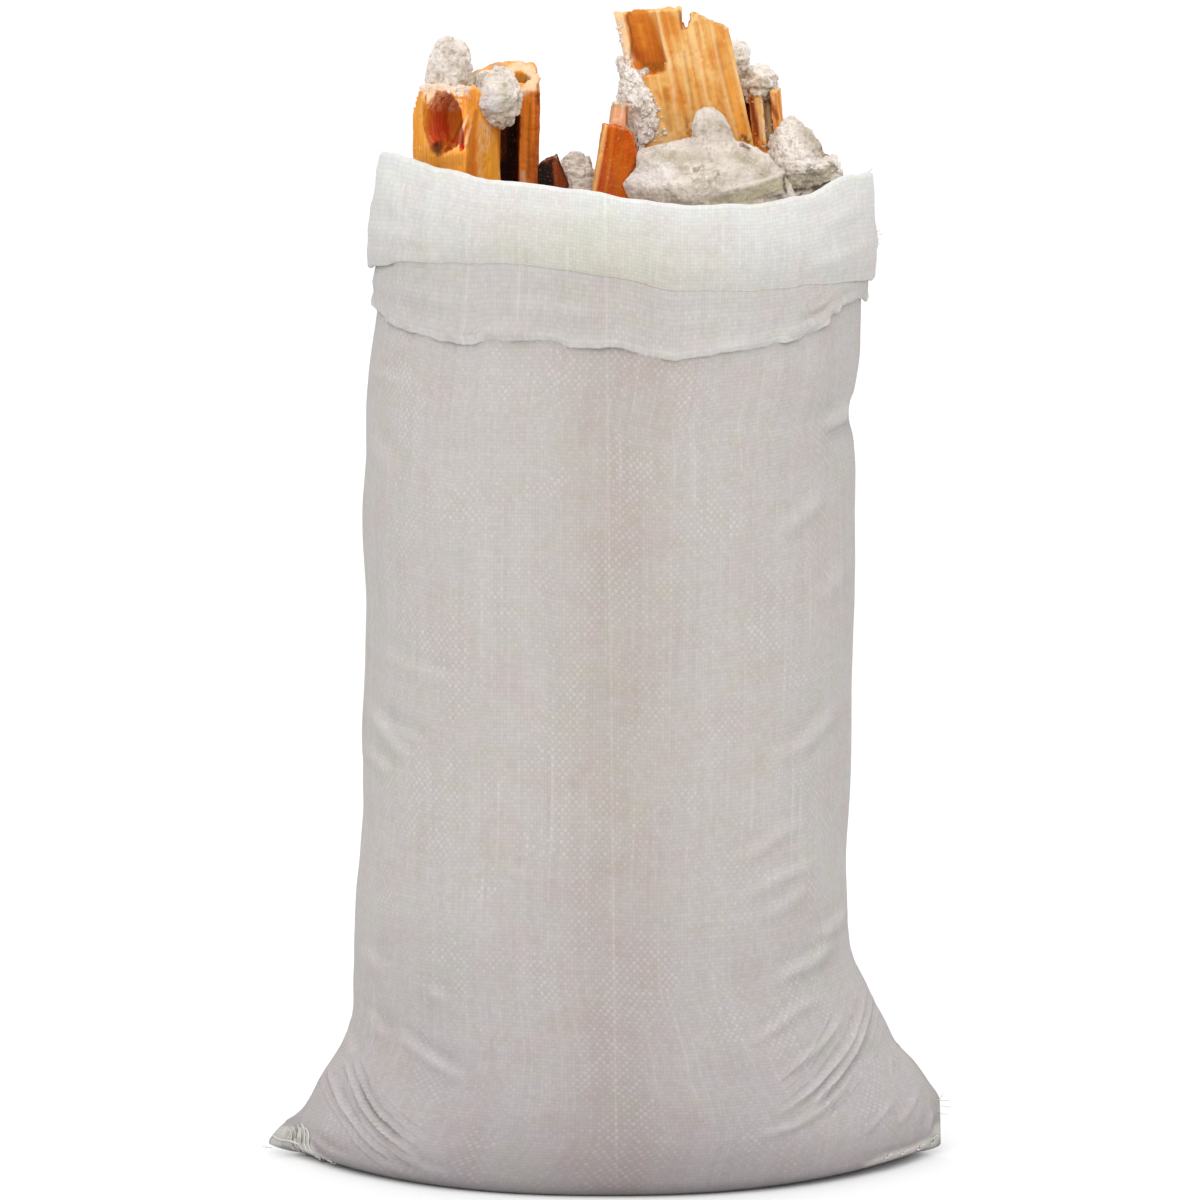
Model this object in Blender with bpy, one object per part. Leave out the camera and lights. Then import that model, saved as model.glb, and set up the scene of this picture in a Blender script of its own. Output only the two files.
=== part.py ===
"""A full woven rubble sack with broken brick and mortar standing out of its mouth.

Metres, +Z up. The origin is in the middle of the footprint, on the floor. -Y is the front.
"""

import collections
import math

import bmesh
import bpy
import numpy as np
from mathutils import Euler, Matrix, Vector, noise
from mathutils.bvhtree import BVHTree

# Gaps and cloth
SEAT_GAP = 0.0003
GROWTH = 0.0005
FILL_GAP = 0.0006
WALL = 0.003
EAR_SLOPE = 0.35
EAR_HALF_THICKNESS = 0.0035
FLOOR_THICKNESS = 0.004

# The sack's reach to each side by height, and its core without the two sewn ears
LEFT_REACH = [
    (0.000, 0.232), (0.004, 0.258), (0.010, 0.272), (0.020, 0.266), (0.040, 0.243), (0.062, 0.231),
    (0.078, 0.221), (0.095, 0.212), (0.111, 0.206), (0.128, 0.203), (0.193, 0.200), (0.258, 0.197),
    (0.291, 0.194), (0.517, 0.193), (0.582, 0.190), (0.638, 0.186), (0.700, 0.180), (0.811, 0.174),
]
RIGHT_REACH = [
    (0.000, 0.232), (0.004, 0.262), (0.009, 0.272), (0.045, 0.272), (0.062, 0.262), (0.078, 0.251),
    (0.095, 0.236), (0.111, 0.228), (0.128, 0.218), (0.144, 0.210), (0.160, 0.202), (0.177, 0.198),
    (0.250, 0.196), (0.340, 0.198), (0.453, 0.200), (0.582, 0.199), (0.608, 0.195), (0.622, 0.200),
    (0.658, 0.205), (0.700, 0.205), (0.811, 0.208),
]
CORE_LEFT = [(0.000, 0.232), (0.010, 0.243), (0.040, 0.240), (0.062, 0.231), (0.078, 0.221), (0.095, 0.212)]
CORE_RIGHT = [(0.000, 0.232), (0.010, 0.243), (0.040, 0.236), (0.078, 0.222), (0.111, 0.210), (0.160, 0.202)]
FRONT_DEPTH = [
    (0.000, 0.142), (0.020, 0.148), (0.100, 0.150), (0.290, 0.151), (0.500, 0.149), (0.640, 0.144),
    (0.800, 0.140),
]
BACK_DEPTH = [
    (0.000, 0.142), (0.020, 0.147), (0.100, 0.149), (0.290, 0.151), (0.500, 0.148), (0.640, 0.142),
    (0.800, 0.138),
]
ROUNDNESS = [(0.000, 2.0), (0.100, 2.2), (0.200, 2.4), (0.600, 2.4), (0.800, 2.2)]

# Heights of the turned cloth by place across the sack
RIM_FRONT = [
    (-0.180, 0.811), (-0.149, 0.807), (-0.104, 0.799), (-0.046, 0.793), (0.012, 0.785), (0.073, 0.779),
    (0.112, 0.780), (0.143, 0.784), (0.185, 0.796), (0.212, 0.795),
]
RIM_BACK = [(-0.180, 0.811), (-0.120, 0.792), (0.000, 0.783), (0.120, 0.777), (0.185, 0.781), (0.212, 0.795)]
UPPER_EDGE_FRONT = [
    (-0.190, 0.719), (-0.155, 0.733), (-0.089, 0.734), (-0.035, 0.729), (0.020, 0.721), (0.060, 0.713),
    (0.114, 0.713), (0.168, 0.718), (0.215, 0.722),
]
UPPER_EDGE_BACK = [(-0.190, 0.719), (-0.080, 0.727), (0.020, 0.722), (0.120, 0.727), (0.215, 0.722)]
LOWER_EDGE_FRONT = [
    (-0.186, 0.694), (-0.163, 0.680), (-0.115, 0.673), (-0.027, 0.670), (0.038, 0.661), (0.060, 0.658),
    (0.100, 0.664), (0.159, 0.679), (0.174, 0.686), (0.207, 0.697),
]
LOWER_EDGE_BACK = [(-0.186, 0.694), (-0.110, 0.669), (0.000, 0.664), (0.090, 0.672), (0.207, 0.697)]

POINTS_AROUND = 56
BODY_HEIGHTS = [
    0.010, 0.016, 0.024, 0.033, 0.044, 0.054, 0.066, 0.080, 0.096, 0.112, 0.130, 0.150, 0.180, 0.230,
    0.290, 0.370, 0.450, 0.530, 0.580, 0.608, 0.630,
]
INNER_HEIGHTS = [
    0.700, 0.658, 0.630, 0.608, 0.580, 0.450, 0.290, 0.180, 0.150, 0.130, 0.112, 0.096, 0.080, 0.066,
    0.044, 0.024,
]
FILL_TOP = 0.762

# Sewing thread at the ears: how far from the middle and how far above its row it runs
THREAD_RADIUS = 0.0008
THREAD_HEIGHT = 0.013
THREAD_REACHES = [0.246, 0.252, 0.257, 0.262, 0.266, 0.269]
THREAD_RISES = [0.0, 0.0, 0.0, 0.0006, 0.0018, 0.0040]

# How each piece of rubble lies: its size or its radii, its middle and its turn in degrees
Lie = collections.namedtuple("Lie", "size middle turn")
LEVEL = (0, 0, 0)
RUBBLE = {
    "grooved_brick_large": Lie((0.085, 0.078, 0.196), (0.068, 0.004, 0.844), (0, -12.5, 0)),
    "hollow_brick_front_left": Lie((0.047, 0.064, 0.110), (-0.1166, -0.0406, 0.812), (0, 0, -25)),
    "hollow_brick_back_left": Lie((0.052, 0.056, 0.118), (-0.080, 0.034, 0.816), (22, 0, 4)),
    "hollow_brick_back_right": Lie((0.034, 0.050, 0.100), (0.127, 0.074, 0.806), (0, -5, -6)),
    "brick_shard_tilted": Lie((0.032, 0.014, 0.100), (0.008, -0.075, 0.798), (-6, 10, 8)),
    "brick_shard_dark": Lie((0.020, 0.018, 0.064), (-0.041, -0.027, 0.782), (0, 0, -35)),
    "brick_nub": Lie((0.013, 0.016, 0.036), (0.010, -0.056, 0.834), (0, 8, 12)),
    "mortar_bed_on_large_brick": Lie((0.015, 0.034, 0.044), (0.027, -0.014, 0.853), (0, -18, 0)),
    "mortar_lump_left_top": Lie((0.018, 0.022, 0.023), (-0.122, -0.044, 0.880), LEVEL),
    "mortar_lump_left_middle": Lie((0.020, 0.024, 0.0245), (-0.086, -0.030, 0.855), (0, 12, 0)),
    "mortar_lump_middle": Lie((0.015, 0.018, 0.030), (-0.0215, 0.006, 0.780), LEVEL),
    "mortar_lump_right_back": Lie((0.0175, 0.024, 0.016), (0.122, 0.070, 0.860), LEVEL),
    "plaster_lump_front": Lie((0.066, 0.040, 0.048), (0.082, -0.080, 0.778), LEVEL),
    "mortar_slab_right": Lie((0.0215, 0.032, 0.042), (0.150, -0.030, 0.799), LEVEL),
}
# Smaller forms that are joined to those lumps
MORTAR_UPPER = Lie((0.013, 0.018, 0.016), (0.104, 0.068, 0.881), LEVEL)
PLASTER_NUB = Lie((0.0155, 0.018, 0.026), (0.085, -0.072, 0.826), (0, -20, 0))
PLASTER_SLAB = Lie((0.086, 0.056, 0.016), (0.096, -0.086, 0.781), (0, -18, 4))
MORTAR_SLAB_EDGE = Lie((0.048, 0.060, 0.020), (0.159, -0.026, 0.795), (0, -14, 8))
BRICK_EDGE = 0.0015
SLAB_EDGE = 0.003

# Colours and how rough each surface is
CLAY = (0.60, 0.20, 0.045)
CLAY_DARK = (0.10, 0.030, 0.022)
CLAY_PALE = (0.72, 0.36, 0.20)
MORTAR = (0.66, 0.58, 0.48)
PLASTER = (0.70, 0.62, 0.53)
SACK_WHITE = (0.66, 0.63, 0.60)
THREAD_WHITE = (0.80, 0.79, 0.76)
CLOTH_ROUGHNESS = 0.6
THREAD_ROUGHNESS = 0.7
CLAY_ROUGHNESS = 0.85
MORTAR_ROUGHNESS = 0.9


def at(table, place):
    """The value that a table of (place, value) pairs gives at this place."""
    places, values = zip(*table)
    return float(np.interp(place, places, values))


def clear_scene():
    for obj in list(bpy.data.objects):
        bpy.data.objects.remove(obj, do_unlink=True)


def new_collection(name):
    collection = bpy.data.collections.new(name)
    bpy.context.scene.collection.children.link(collection)
    return collection


def new_material(name, colour, roughness):
    material = bpy.data.materials.new(name)
    material.use_nodes = True
    shader = material.node_tree.nodes["Principled BSDF"]
    shader.inputs["Base Color"].default_value = (*colour, 1.0)
    shader.inputs["Roughness"].default_value = roughness
    shader.inputs["Metallic"].default_value = 0.0
    material.diffuse_color = (*colour, 1.0)
    return material


def object_from_bmesh(bm, name, collection):
    mesh = bpy.data.meshes.new(name)
    bmesh.ops.recalc_face_normals(bm, faces=bm.faces)
    bm.to_mesh(mesh)
    bm.free()
    obj = bpy.data.objects.new(name, mesh)
    collection.objects.link(obj)
    return obj


def finish_piece(obj, colour, roughness):
    obj.data.materials.clear()
    obj.data.materials.append(new_material(obj.name + "_finish", colour, roughness))
    return obj


def bake(obj):
    """Gives the object the mesh that its modifiers make, and removes them."""
    bpy.context.view_layer.update()
    graph = bpy.context.evaluated_depsgraph_get()
    mesh = bpy.data.meshes.new_from_object(obj.evaluated_get(graph))
    obj.modifiers.clear()
    obj.data = mesh


def combine(obj, other, operation):
    """Cuts the object with another one, or joins the other to it."""
    modifier = obj.modifiers.new(operation.lower(), "BOOLEAN")
    modifier.operation = operation
    modifier.object = other
    modifier.solver = "EXACT"
    bake(obj)


def hide_helper(obj):
    obj.hide_render = True
    obj.display_type = "WIRE"


def remove(obj):
    bpy.data.objects.remove(obj, do_unlink=True)


# The sack's sections


def turn_angles():
    """Angles round a section, closer together at the two sides."""
    steps = [2 * math.pi * i / POINTS_AROUND for i in range(POINTS_AROUND)]
    return [a - 0.2 * math.sin(2 * a) for a in steps]


def core_point(angle, height, offset):
    """A point on the sack's section without its ears, moved out by the offset."""
    left, right = -at(CORE_LEFT, height), at(CORE_RIGHT, height)
    if height > CORE_LEFT[-1][0]:
        left = -at(LEFT_REACH, height)
    if height > CORE_RIGHT[-1][0]:
        right = at(RIGHT_REACH, height)
    return section_point(angle, height, left, right, left, right, offset)


def eared_point(angle, height, offset):
    """A point on the sack's outer section, with the two flat sewn ears."""
    left, right = -at(LEFT_REACH, height), at(RIGHT_REACH, height)
    core_left = -min(-left, at(CORE_LEFT, height)) if height < CORE_LEFT[-1][0] else left
    core_right = min(right, at(CORE_RIGHT, height)) if height < CORE_RIGHT[-1][0] else right
    return section_point(angle, height, left, right, core_left, core_right, offset)


def section_point(angle, height, left, right, core_left, core_right, offset):
    x = (left + right) / 2 + (right - left) / 2 * math.cos(angle)
    across = (x - (core_left + core_right) / 2) / ((core_right - core_left) / 2)
    power = at(ROUNDNESS, height)
    depth = at(BACK_DEPTH if math.sin(angle) > 0 else FRONT_DEPTH, height)
    y = depth * max(0.0, 1 - abs(across) ** power) ** (1 / power)
    from_tip = min(x - left, right - x)
    y = max(y, min(EAR_HALF_THICKNESS, EAR_SLOPE * from_tip))
    y = math.copysign(y, math.sin(angle)) if abs(math.sin(angle)) > 1e-6 else 0.0
    return x + offset * math.cos(angle), y + offset * math.sin(angle)


def by_place(front, back, angle, x):
    return at(back if math.sin(angle) > 0 else front, x)


def flat_ring(height, offset, point):
    return [(*point(a, height, offset), height) for a in turn_angles()]


def cloth_ring(heights_at, offset):
    """A ring that follows an edge of the turned cloth, which rises and falls round the sack."""
    ring = []
    for angle in turn_angles():
        x, _ = core_point(angle, 0.75, 0.0)
        height = heights_at(angle, x)
        ring.append((*core_point(angle, height, offset), height))
    return ring


def rim_height(angle, x):
    return by_place(RIM_FRONT, RIM_BACK, angle, x)


def upper_edge(angle, x):
    return by_place(UPPER_EDGE_FRONT, UPPER_EDGE_BACK, angle, x)


def lower_edge(angle, x):
    return by_place(LOWER_EDGE_FRONT, LOWER_EDGE_BACK, angle, x)


def between(low, high, share):
    return lambda angle, x: low(angle, x) * (1 - share) + high(angle, x) * share


def lowered(edge, drop):
    return lambda angle, x: edge(angle, x) - drop


def cuff_rings():
    """The turned mouth: a lower band, an upper band over it, and the rim."""
    return [
        cloth_ring(lowered(lower_edge, 0.004), 0.0),
        cloth_ring(lower_edge, 0.004),
        cloth_ring(between(lower_edge, upper_edge, 0.4), 0.005),
        cloth_ring(lowered(upper_edge, 0.003), 0.002),
        cloth_ring(upper_edge, 0.007),
        cloth_ring(between(upper_edge, rim_height, 0.15), 0.009),
        cloth_ring(between(upper_edge, rim_height, 0.5), 0.008),
        cloth_ring(lowered(rim_height, 0.006), 0.006),
        cloth_ring(rim_height, 0.003),
        cloth_ring(rim_height, -0.002),
        cloth_ring(lowered(rim_height, 0.012), -WALL),
    ]


def loft(rings, name, collection):
    """A closed skin over rings with the same number of points, capped by its first and last ring."""
    bm = bmesh.new()
    rows = [[bm.verts.new(p) for p in ring] for ring in rings]
    for low, high in zip(rows, rows[1:]):
        for i in range(len(low)):
            j = (i + 1) % len(low)
            bm.faces.new((low[i], low[j], high[j], high[i]))
    bm.faces.new(rows[0])
    bm.faces.new(rows[-1])
    return object_from_bmesh(bm, name, collection)


def woven_sack(collection):
    rings = [flat_ring(0.0, -0.006, core_point), flat_ring(0.003, -0.002, eared_point)]
    rings += [flat_ring(z, 0.0, eared_point) for z in BODY_HEIGHTS]
    rings += cuff_rings()
    rings += [flat_ring(z, -WALL, core_point) for z in INNER_HEIGHTS]
    rings += [flat_ring(0.009, -WALL - 0.002, core_point)]
    rings += [flat_ring(FLOOR_THICKNESS, -WALL - 0.010, core_point)]
    sack = loft(rings, "woven_sack", collection)
    sack.data.shade_smooth()
    sack.data.set_sharp_from_angle(angle=math.radians(50))
    return finish_piece(sack, SACK_WHITE, CLOTH_ROUGHNESS)


def rubble_fill(collection):
    """The hidden rubble, one plain core that fills the sack up to under its mouth."""
    inset = WALL + FILL_GAP
    rings = [
        flat_ring(FLOOR_THICKNESS + SEAT_GAP, -inset - 0.011, core_point),
        flat_ring(0.009 + SEAT_GAP, -inset - 0.003, core_point),
    ]
    rings += [flat_ring(z, -inset, core_point) for z in reversed(INNER_HEIGHTS)]
    rings += [flat_ring(FILL_TOP, -inset - 0.001, core_point)]
    fill = loft(rings, "rubble_fill", collection)
    return finish_piece(fill, MORTAR, MORTAR_ROUGHNESS)


def front_face(skin, x, height):
    """How far the sack's front stands forward round this point."""
    steps = (-0.003, -0.0015, 0.0, 0.0015, 0.003)
    hits = []
    for across in steps:
        for up in (-0.0012, 0.0, 0.0012):
            hit = skin.ray_cast(Vector((x + across, -0.3, height + up)), Vector((0.0, 1.0, 0.0)))[0]
            if hit:
                hits.append(-hit.y)
    return max(hits)


def seam_thread(name, side, sack, collection):
    """The sewing thread along an ear's lower edge, ending in a short loose tail."""
    curve = bpy.data.curves.new(name, "CURVE")
    curve.dimensions = "3D"
    curve.bevel_depth = THREAD_RADIUS
    curve.bevel_resolution = 1
    curve.use_fill_caps = True
    mesh = bmesh.new()
    mesh.from_mesh(sack.data)
    skin = BVHTree.FromBMesh(mesh)
    mesh.free()
    spline = curve.splines.new("POLY")
    spline.points.add(len(THREAD_REACHES) - 1)
    for point, reach, rise in zip(spline.points, THREAD_REACHES, THREAD_RISES):
        height = THREAD_HEIGHT + rise
        face = front_face(skin, side * reach, height)
        point.co = (side * reach, -face - THREAD_RADIUS - SEAT_GAP, height, 1.0)
    obj = bpy.data.objects.new(name, curve)
    collection.objects.link(obj)
    return finish_piece(obj, THREAD_WHITE, THREAD_ROUGHNESS)


# Brick pieces


def block(name, size, collection, bevel=BRICK_EDGE):
    bm = bmesh.new()
    bmesh.ops.create_cube(bm, size=1.0)
    bmesh.ops.scale(bm, verts=bm.verts, vec=size)
    if bevel:
        bmesh.ops.bevel(bm, geom=bm.edges[:], offset=bevel, segments=1, affect="EDGES")
    return object_from_bmesh(bm, name, collection)


def rod(name, radii, length, collection, sides=16):
    """An upright round or oval rod, centred on its middle."""
    bm = bmesh.new()
    bmesh.ops.create_cone(bm, cap_ends=True, segments=sides, radius1=1.0, radius2=1.0, depth=length)
    bmesh.ops.scale(bm, verts=bm.verts, vec=(*radii, 1.0))
    return object_from_bmesh(bm, name, collection)


def settle(obj, place=(0.0, 0.0, 0.0), turn=LEVEL):
    """Moves the mesh itself, so that later cuts see it where it lies."""
    obj.data.transform(Euler([math.radians(a) for a in turn]).to_matrix().to_4x4())
    obj.data.transform(Matrix.Translation(place))
    return obj


def lay(obj, lie):
    return settle(obj, lie.middle, lie.turn)


def carve(obj, cutters):
    for cutter in cutters:
        combine(obj, cutter, "DIFFERENCE")
        remove(cutter)


def broken_by(obj, planes):
    """Breaks pieces off along planes, each given by a point and the side that falls away."""
    for point, away in planes:
        bm = bmesh.new()
        bm.from_mesh(obj.data)
        cut = bmesh.ops.bisect_plane(
            bm,
            geom=bm.verts[:] + bm.edges[:] + bm.faces[:],
            plane_co=point,
            plane_no=away,
            clear_outer=True,
        )
        edges = [e for e in cut["geom_cut"] if isinstance(e, bmesh.types.BMEdge)]
        bmesh.ops.contextual_create(bm, geom=edges)
        bmesh.ops.recalc_face_normals(bm, faces=bm.faces)
        bm.to_mesh(obj.data)
        bm.free()
    return obj


def hollow_brick_front_left(collection, cutters):
    name = "hollow_brick_front_left"
    brick = block(name, RUBBLE[name].size, collection)
    channel = settle(rod("channel", (0.0165, 0.0245), 0.060, cutters), turn=(90, 0, 0))
    settle(channel, place=(0.004, -0.020, 0.0265))
    slit = settle(block("slit", (0.004, 0.020, 0.018), cutters, 0), place=(0.019, -0.030, 0.013))
    carve(brick, [channel, slit])
    broken_side = ((-0.0235, 0.0, 0.032), (-1.0, 0.0, 0.33))
    broken_top = ((0.0, 0.0, 0.053), (0.10, 0.15, 1.0))
    broken_by(brick, [broken_side, broken_top])
    return finish_piece(lay(brick, RUBBLE[name]), CLAY, CLAY_ROUGHNESS)


def hollow_brick_back_left(collection, cutters):
    name = "hollow_brick_back_left"
    brick = block(name, RUBBLE[name].size, collection)
    hole = settle(rod("hole", (0.0085, 0.0085), 0.080, cutters), place=(0.011, -0.002, 0.040))
    cell = settle(block("cell", (0.015, 0.040, 0.090), cutters, 0), place=(0.0025, -0.016, -0.007))
    carve(brick, [hole, cell])
    broken_corner = ((-0.026, 0.0, 0.052), (-0.5, 0.1, 1.0))
    broken_by(brick, [broken_corner])
    return finish_piece(lay(brick, RUBBLE[name]), CLAY, CLAY_ROUGHNESS)


def brick_shard_dark(collection):
    """A dark corner of brick, its upright edge to the front, broken on both sides of its highest point."""
    name = "brick_shard_dark"
    shard = lay(block(name, RUBBLE[name].size, collection), RUBBLE[name])
    highest = (-0.038, -0.040, 0.811)
    broken_by(shard, [(highest, (-0.46, 0.0, 0.89)), (highest, (0.93, 0.0, 0.37))])
    return finish_piece(shard, CLAY_DARK, CLAY_ROUGHNESS)


def brick_shard_tilted(collection):
    name = "brick_shard_tilted"
    shard = lay(block(name, RUBBLE[name].size, collection), RUBBLE[name])
    broken_top = ((-0.0016, -0.080, 0.839), (0.31, 0.1, 1.0))
    broken_corner = ((0.021, -0.080, 0.832), (1.0, 0.0, 0.24))
    broken_by(shard, [broken_top, broken_corner])
    return finish_piece(shard, CLAY, CLAY_ROUGHNESS)


def grooved_brick_large(collection, cutters):
    name = "grooved_brick_large"
    depth = RUBBLE[name].size[1]
    brick = block(name, RUBBLE[name].size, collection)
    grooves = []
    for i in range(4):
        groove = settle(block(f"groove_{i}", (0.005, 0.005, 0.22), cutters, 0), turn=(0, 0, 45))
        grooves.append(settle(groove, place=(-0.0058 + 0.0143 * i, -depth / 2 - 0.001, 0.0)))
    channel = block("open_channel", (0.0248, 0.036, 0.100), cutters, 0.006)
    settle(channel, place=(-0.0231, -depth / 2 + 0.004, 0.086))
    notch = settle(block("notch", (0.0068, 0.060, 0.030), cutters, 0), turn=(0, 13, 0))
    settle(notch, place=(0.0146, -0.020, 0.0843))
    inner = settle(rod("inner_channel", (0.013, 0.013), 0.150, cutters), place=(0.014, 0.008, 0.040))
    carve(brick, grooves + [channel, notch, inner])
    lay(brick, RUBBLE[name])
    broken_left = ((0.060, -0.035, 0.925), (-0.09, 0.0, 1.0))
    broken_right = ((0.068, -0.035, 0.9225), (0.45, 0.05, 1.0))
    broken_back = ((0.060, 0.043, 0.900), (0.0, 0.6, 1.0))
    broken_by(brick, [broken_left, broken_right, broken_back])
    return finish_piece(brick, CLAY, CLAY_ROUGHNESS)


def brick_nub(collection):
    name = "brick_nub"
    nub = block(name, RUBBLE[name].size, collection)
    return finish_piece(lay(nub, RUBBLE[name]), CLAY_PALE, CLAY_ROUGHNESS)


def hollow_brick_back_right(collection, cutters):
    name = "hollow_brick_back_right"
    brick = block(name, RUBBLE[name].size, collection)
    slots = []
    for x in (-0.009, 0.0085):
        slots.append(settle(block(f"slot_{x}", (0.006, 0.024, 0.080), cutters, 0), place=(x, -0.020, 0.020)))
    carve(brick, slots)
    return finish_piece(lay(brick, RUBBLE[name]), CLAY, CLAY_ROUGHNESS)


# Mortar pieces


def lump(name, lie, collection, roughness, seed, detail=3):
    """A rough rounded lump: a sphere pushed in and out by smooth noise."""
    bm = bmesh.new()
    bmesh.ops.create_icosphere(bm, subdivisions=detail, radius=1.0)
    for vertex in bm.verts:
        push = noise.noise(vertex.co * 1.7 + Vector((seed, seed * 0.5, -seed)))
        vertex.co *= 1.0 + roughness * push
    bmesh.ops.scale(bm, verts=bm.verts, vec=lie.size)
    return lay(object_from_bmesh(bm, name, collection), lie)


def mortar_piece(name, collection, roughness, seed, detail=3):
    piece = lump(name, RUBBLE[name], collection, roughness, seed, detail)
    return finish_piece(piece, MORTAR, MORTAR_ROUGHNESS)


def join_to(piece, others):
    for other in others:
        combine(piece, other, "UNION")
        remove(other)
    return piece


def slab(name, lie, collection):
    """A flat broken plate. It turns about the piece's own axes before it moves to its place."""
    return lay(block(name, lie.size, collection, SLAB_EDGE), lie)


def mortar_lump_right_back(collection, cutters):
    piece = mortar_piece("mortar_lump_right_back", collection, 0.25, 23.0)
    return join_to(piece, [lump("mortar_upper", MORTAR_UPPER, cutters, 0.2, 29.0, 2)])


def plaster_lump_front(collection, cutters):
    name = "plaster_lump_front"
    piece = lump(name, RUBBLE[name], collection, 0.18, 31.0)
    nub = lump("plaster_nub", PLASTER_NUB, cutters, 0.1, 37.0, 2)
    join_to(piece, [nub, slab("plaster_slab", PLASTER_SLAB, cutters)])
    return finish_piece(piece, PLASTER, MORTAR_ROUGHNESS)


def mortar_slab_right(collection, cutters):
    piece = mortar_piece("mortar_slab_right", collection, 0.2, 41.0)
    return join_to(piece, [slab("slab_edge", MORTAR_SLAB_EDGE, cutters)])


def grown_copy(obj, cutters):
    """A copy of the piece that stands a hair's breadth larger all round."""
    grown = bpy.data.objects.new("grown_" + obj.name, obj.data.copy())
    cutters.objects.link(grown)
    hide_helper(grown)
    bm = bmesh.new()
    bm.from_mesh(grown.data)
    bm.normal_update()
    moves = [(v, v.normal * GROWTH * min(v.calc_shell_factor(), 2.0)) for v in bm.verts]
    for vertex, move in moves:
        vertex.co += move
    bm.to_mesh(grown.data)
    bm.free()
    return grown


def boxes_meet(one, other):
    margin = 0.001
    a = [Vector(corner) for corner in one.bound_box]
    b = [Vector(corner) for corner in other.bound_box]
    return all(
        min(p[i] for p in a) < max(p[i] for p in b) + margin
        and min(p[i] for p in b) < max(p[i] for p in a) + margin
        for i in range(3)
    )


def keep_largest_body(obj):
    """Drops the crumbs that a cut leaves beside the piece."""
    bm = bmesh.new()
    bm.from_mesh(obj.data)
    unseen = set(bm.verts)
    groups = []
    while unseen:
        stack = [unseen.pop()]
        group = set(stack)
        while stack:
            for edge in stack.pop().link_edges:
                for vertex in edge.verts:
                    if vertex in unseen:
                        unseen.remove(vertex)
                        group.add(vertex)
                        stack.append(vertex)
        groups.append(group)
    groups.sort(key=len)
    for group in groups[:-1]:
        bmesh.ops.delete(bm, geom=list(group), context="VERTS")
    bm.to_mesh(obj.data)
    bm.free()


def build():
    clear_scene()
    parts = new_collection("rubble_sack")
    cutters = new_collection("cutters")
    sack = woven_sack(parts)
    seam_thread("seam_thread_left", -1, sack, parts)
    seam_thread("seam_thread_right", 1, sack, parts)
    # In this order each piece is cut by the ones before it that it rests on
    pieces = [
        grooved_brick_large(parts, cutters),
        hollow_brick_front_left(parts, cutters),
        hollow_brick_back_left(parts, cutters),
        hollow_brick_back_right(parts, cutters),
        brick_shard_tilted(parts),
        brick_shard_dark(parts),
        brick_nub(parts),
        mortar_piece("mortar_bed_on_large_brick", parts, 0.3, 17.9),
        mortar_piece("mortar_lump_left_top", parts, 0.25, 3.1),
        mortar_piece("mortar_lump_left_middle", parts, 0.25, 7.7),
        mortar_piece("mortar_lump_middle", parts, 0.2, 11.3, 2),
        mortar_lump_right_back(parts, cutters),
        plaster_lump_front(parts, cutters),
        mortar_slab_right(parts, cutters),
        rubble_fill(parts),
    ]
    grown = [grown_copy(piece, cutters) for piece in pieces[:-1]]
    for i, piece in enumerate(pieces):
        for carrier in grown[:i]:
            if boxes_meet(piece, carrier):
                combine(piece, carrier, "DIFFERENCE")
        keep_largest_body(piece)


build()
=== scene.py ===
"""The looks of a full woven rubble sack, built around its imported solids.

Metres, +Z up, -Y the front, as in the frame. Pixels are those of a 1200 by 1200 photograph.
"""

from collections import namedtuple
import itertools
import math

import bmesh
import bpy
import numpy as np
from mathutils import Euler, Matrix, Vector
from mathutils.bvhtree import BVHTree


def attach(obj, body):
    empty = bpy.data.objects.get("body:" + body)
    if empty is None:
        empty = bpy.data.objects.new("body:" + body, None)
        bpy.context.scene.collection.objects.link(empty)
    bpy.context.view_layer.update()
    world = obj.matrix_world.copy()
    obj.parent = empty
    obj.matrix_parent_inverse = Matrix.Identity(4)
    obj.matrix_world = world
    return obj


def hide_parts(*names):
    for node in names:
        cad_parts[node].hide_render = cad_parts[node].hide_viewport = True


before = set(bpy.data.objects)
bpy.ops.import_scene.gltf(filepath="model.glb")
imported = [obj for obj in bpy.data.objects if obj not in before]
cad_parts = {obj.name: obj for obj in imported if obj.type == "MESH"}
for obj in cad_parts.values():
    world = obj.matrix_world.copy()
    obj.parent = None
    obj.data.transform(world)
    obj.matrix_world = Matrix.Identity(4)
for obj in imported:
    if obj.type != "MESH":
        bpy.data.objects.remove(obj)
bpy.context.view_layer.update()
BODY = "root"

# The camera: what one pixel covers at the target, and where it stands
PHOTO_SIZE = 1200
PIXEL = 0.0008
VIEW_DISTANCE = 5.0
VIEW_ELEVATION = math.radians(7.5)
VIEW_TARGET = np.array((-0.004, 0.0, 0.453))
SENSOR_MM = 36.0
TO_CAMERA = np.array((0.0, -math.cos(VIEW_ELEVATION), math.sin(VIEW_ELEVATION)))
VIEW_UP = np.array((0.0, math.sin(VIEW_ELEVATION), math.cos(VIEW_ELEVATION)))

# The studio: the tent's glow at the horizon and what is added overhead, the lamp, and the floor
TENT_HORIZON = 0.90
TENT_OVERHEAD = 0.9
LAMP_PLACE = (-0.2, -2.4, 2.3)
LAMP_TARGET = (0.0, 0.0, 0.5)
LAMP_SIZE = 2.0
LAMP_POWER = 26.0
FLOOR_WHITE = 0.80
FLOOR_RADIUS = 40.0

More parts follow.
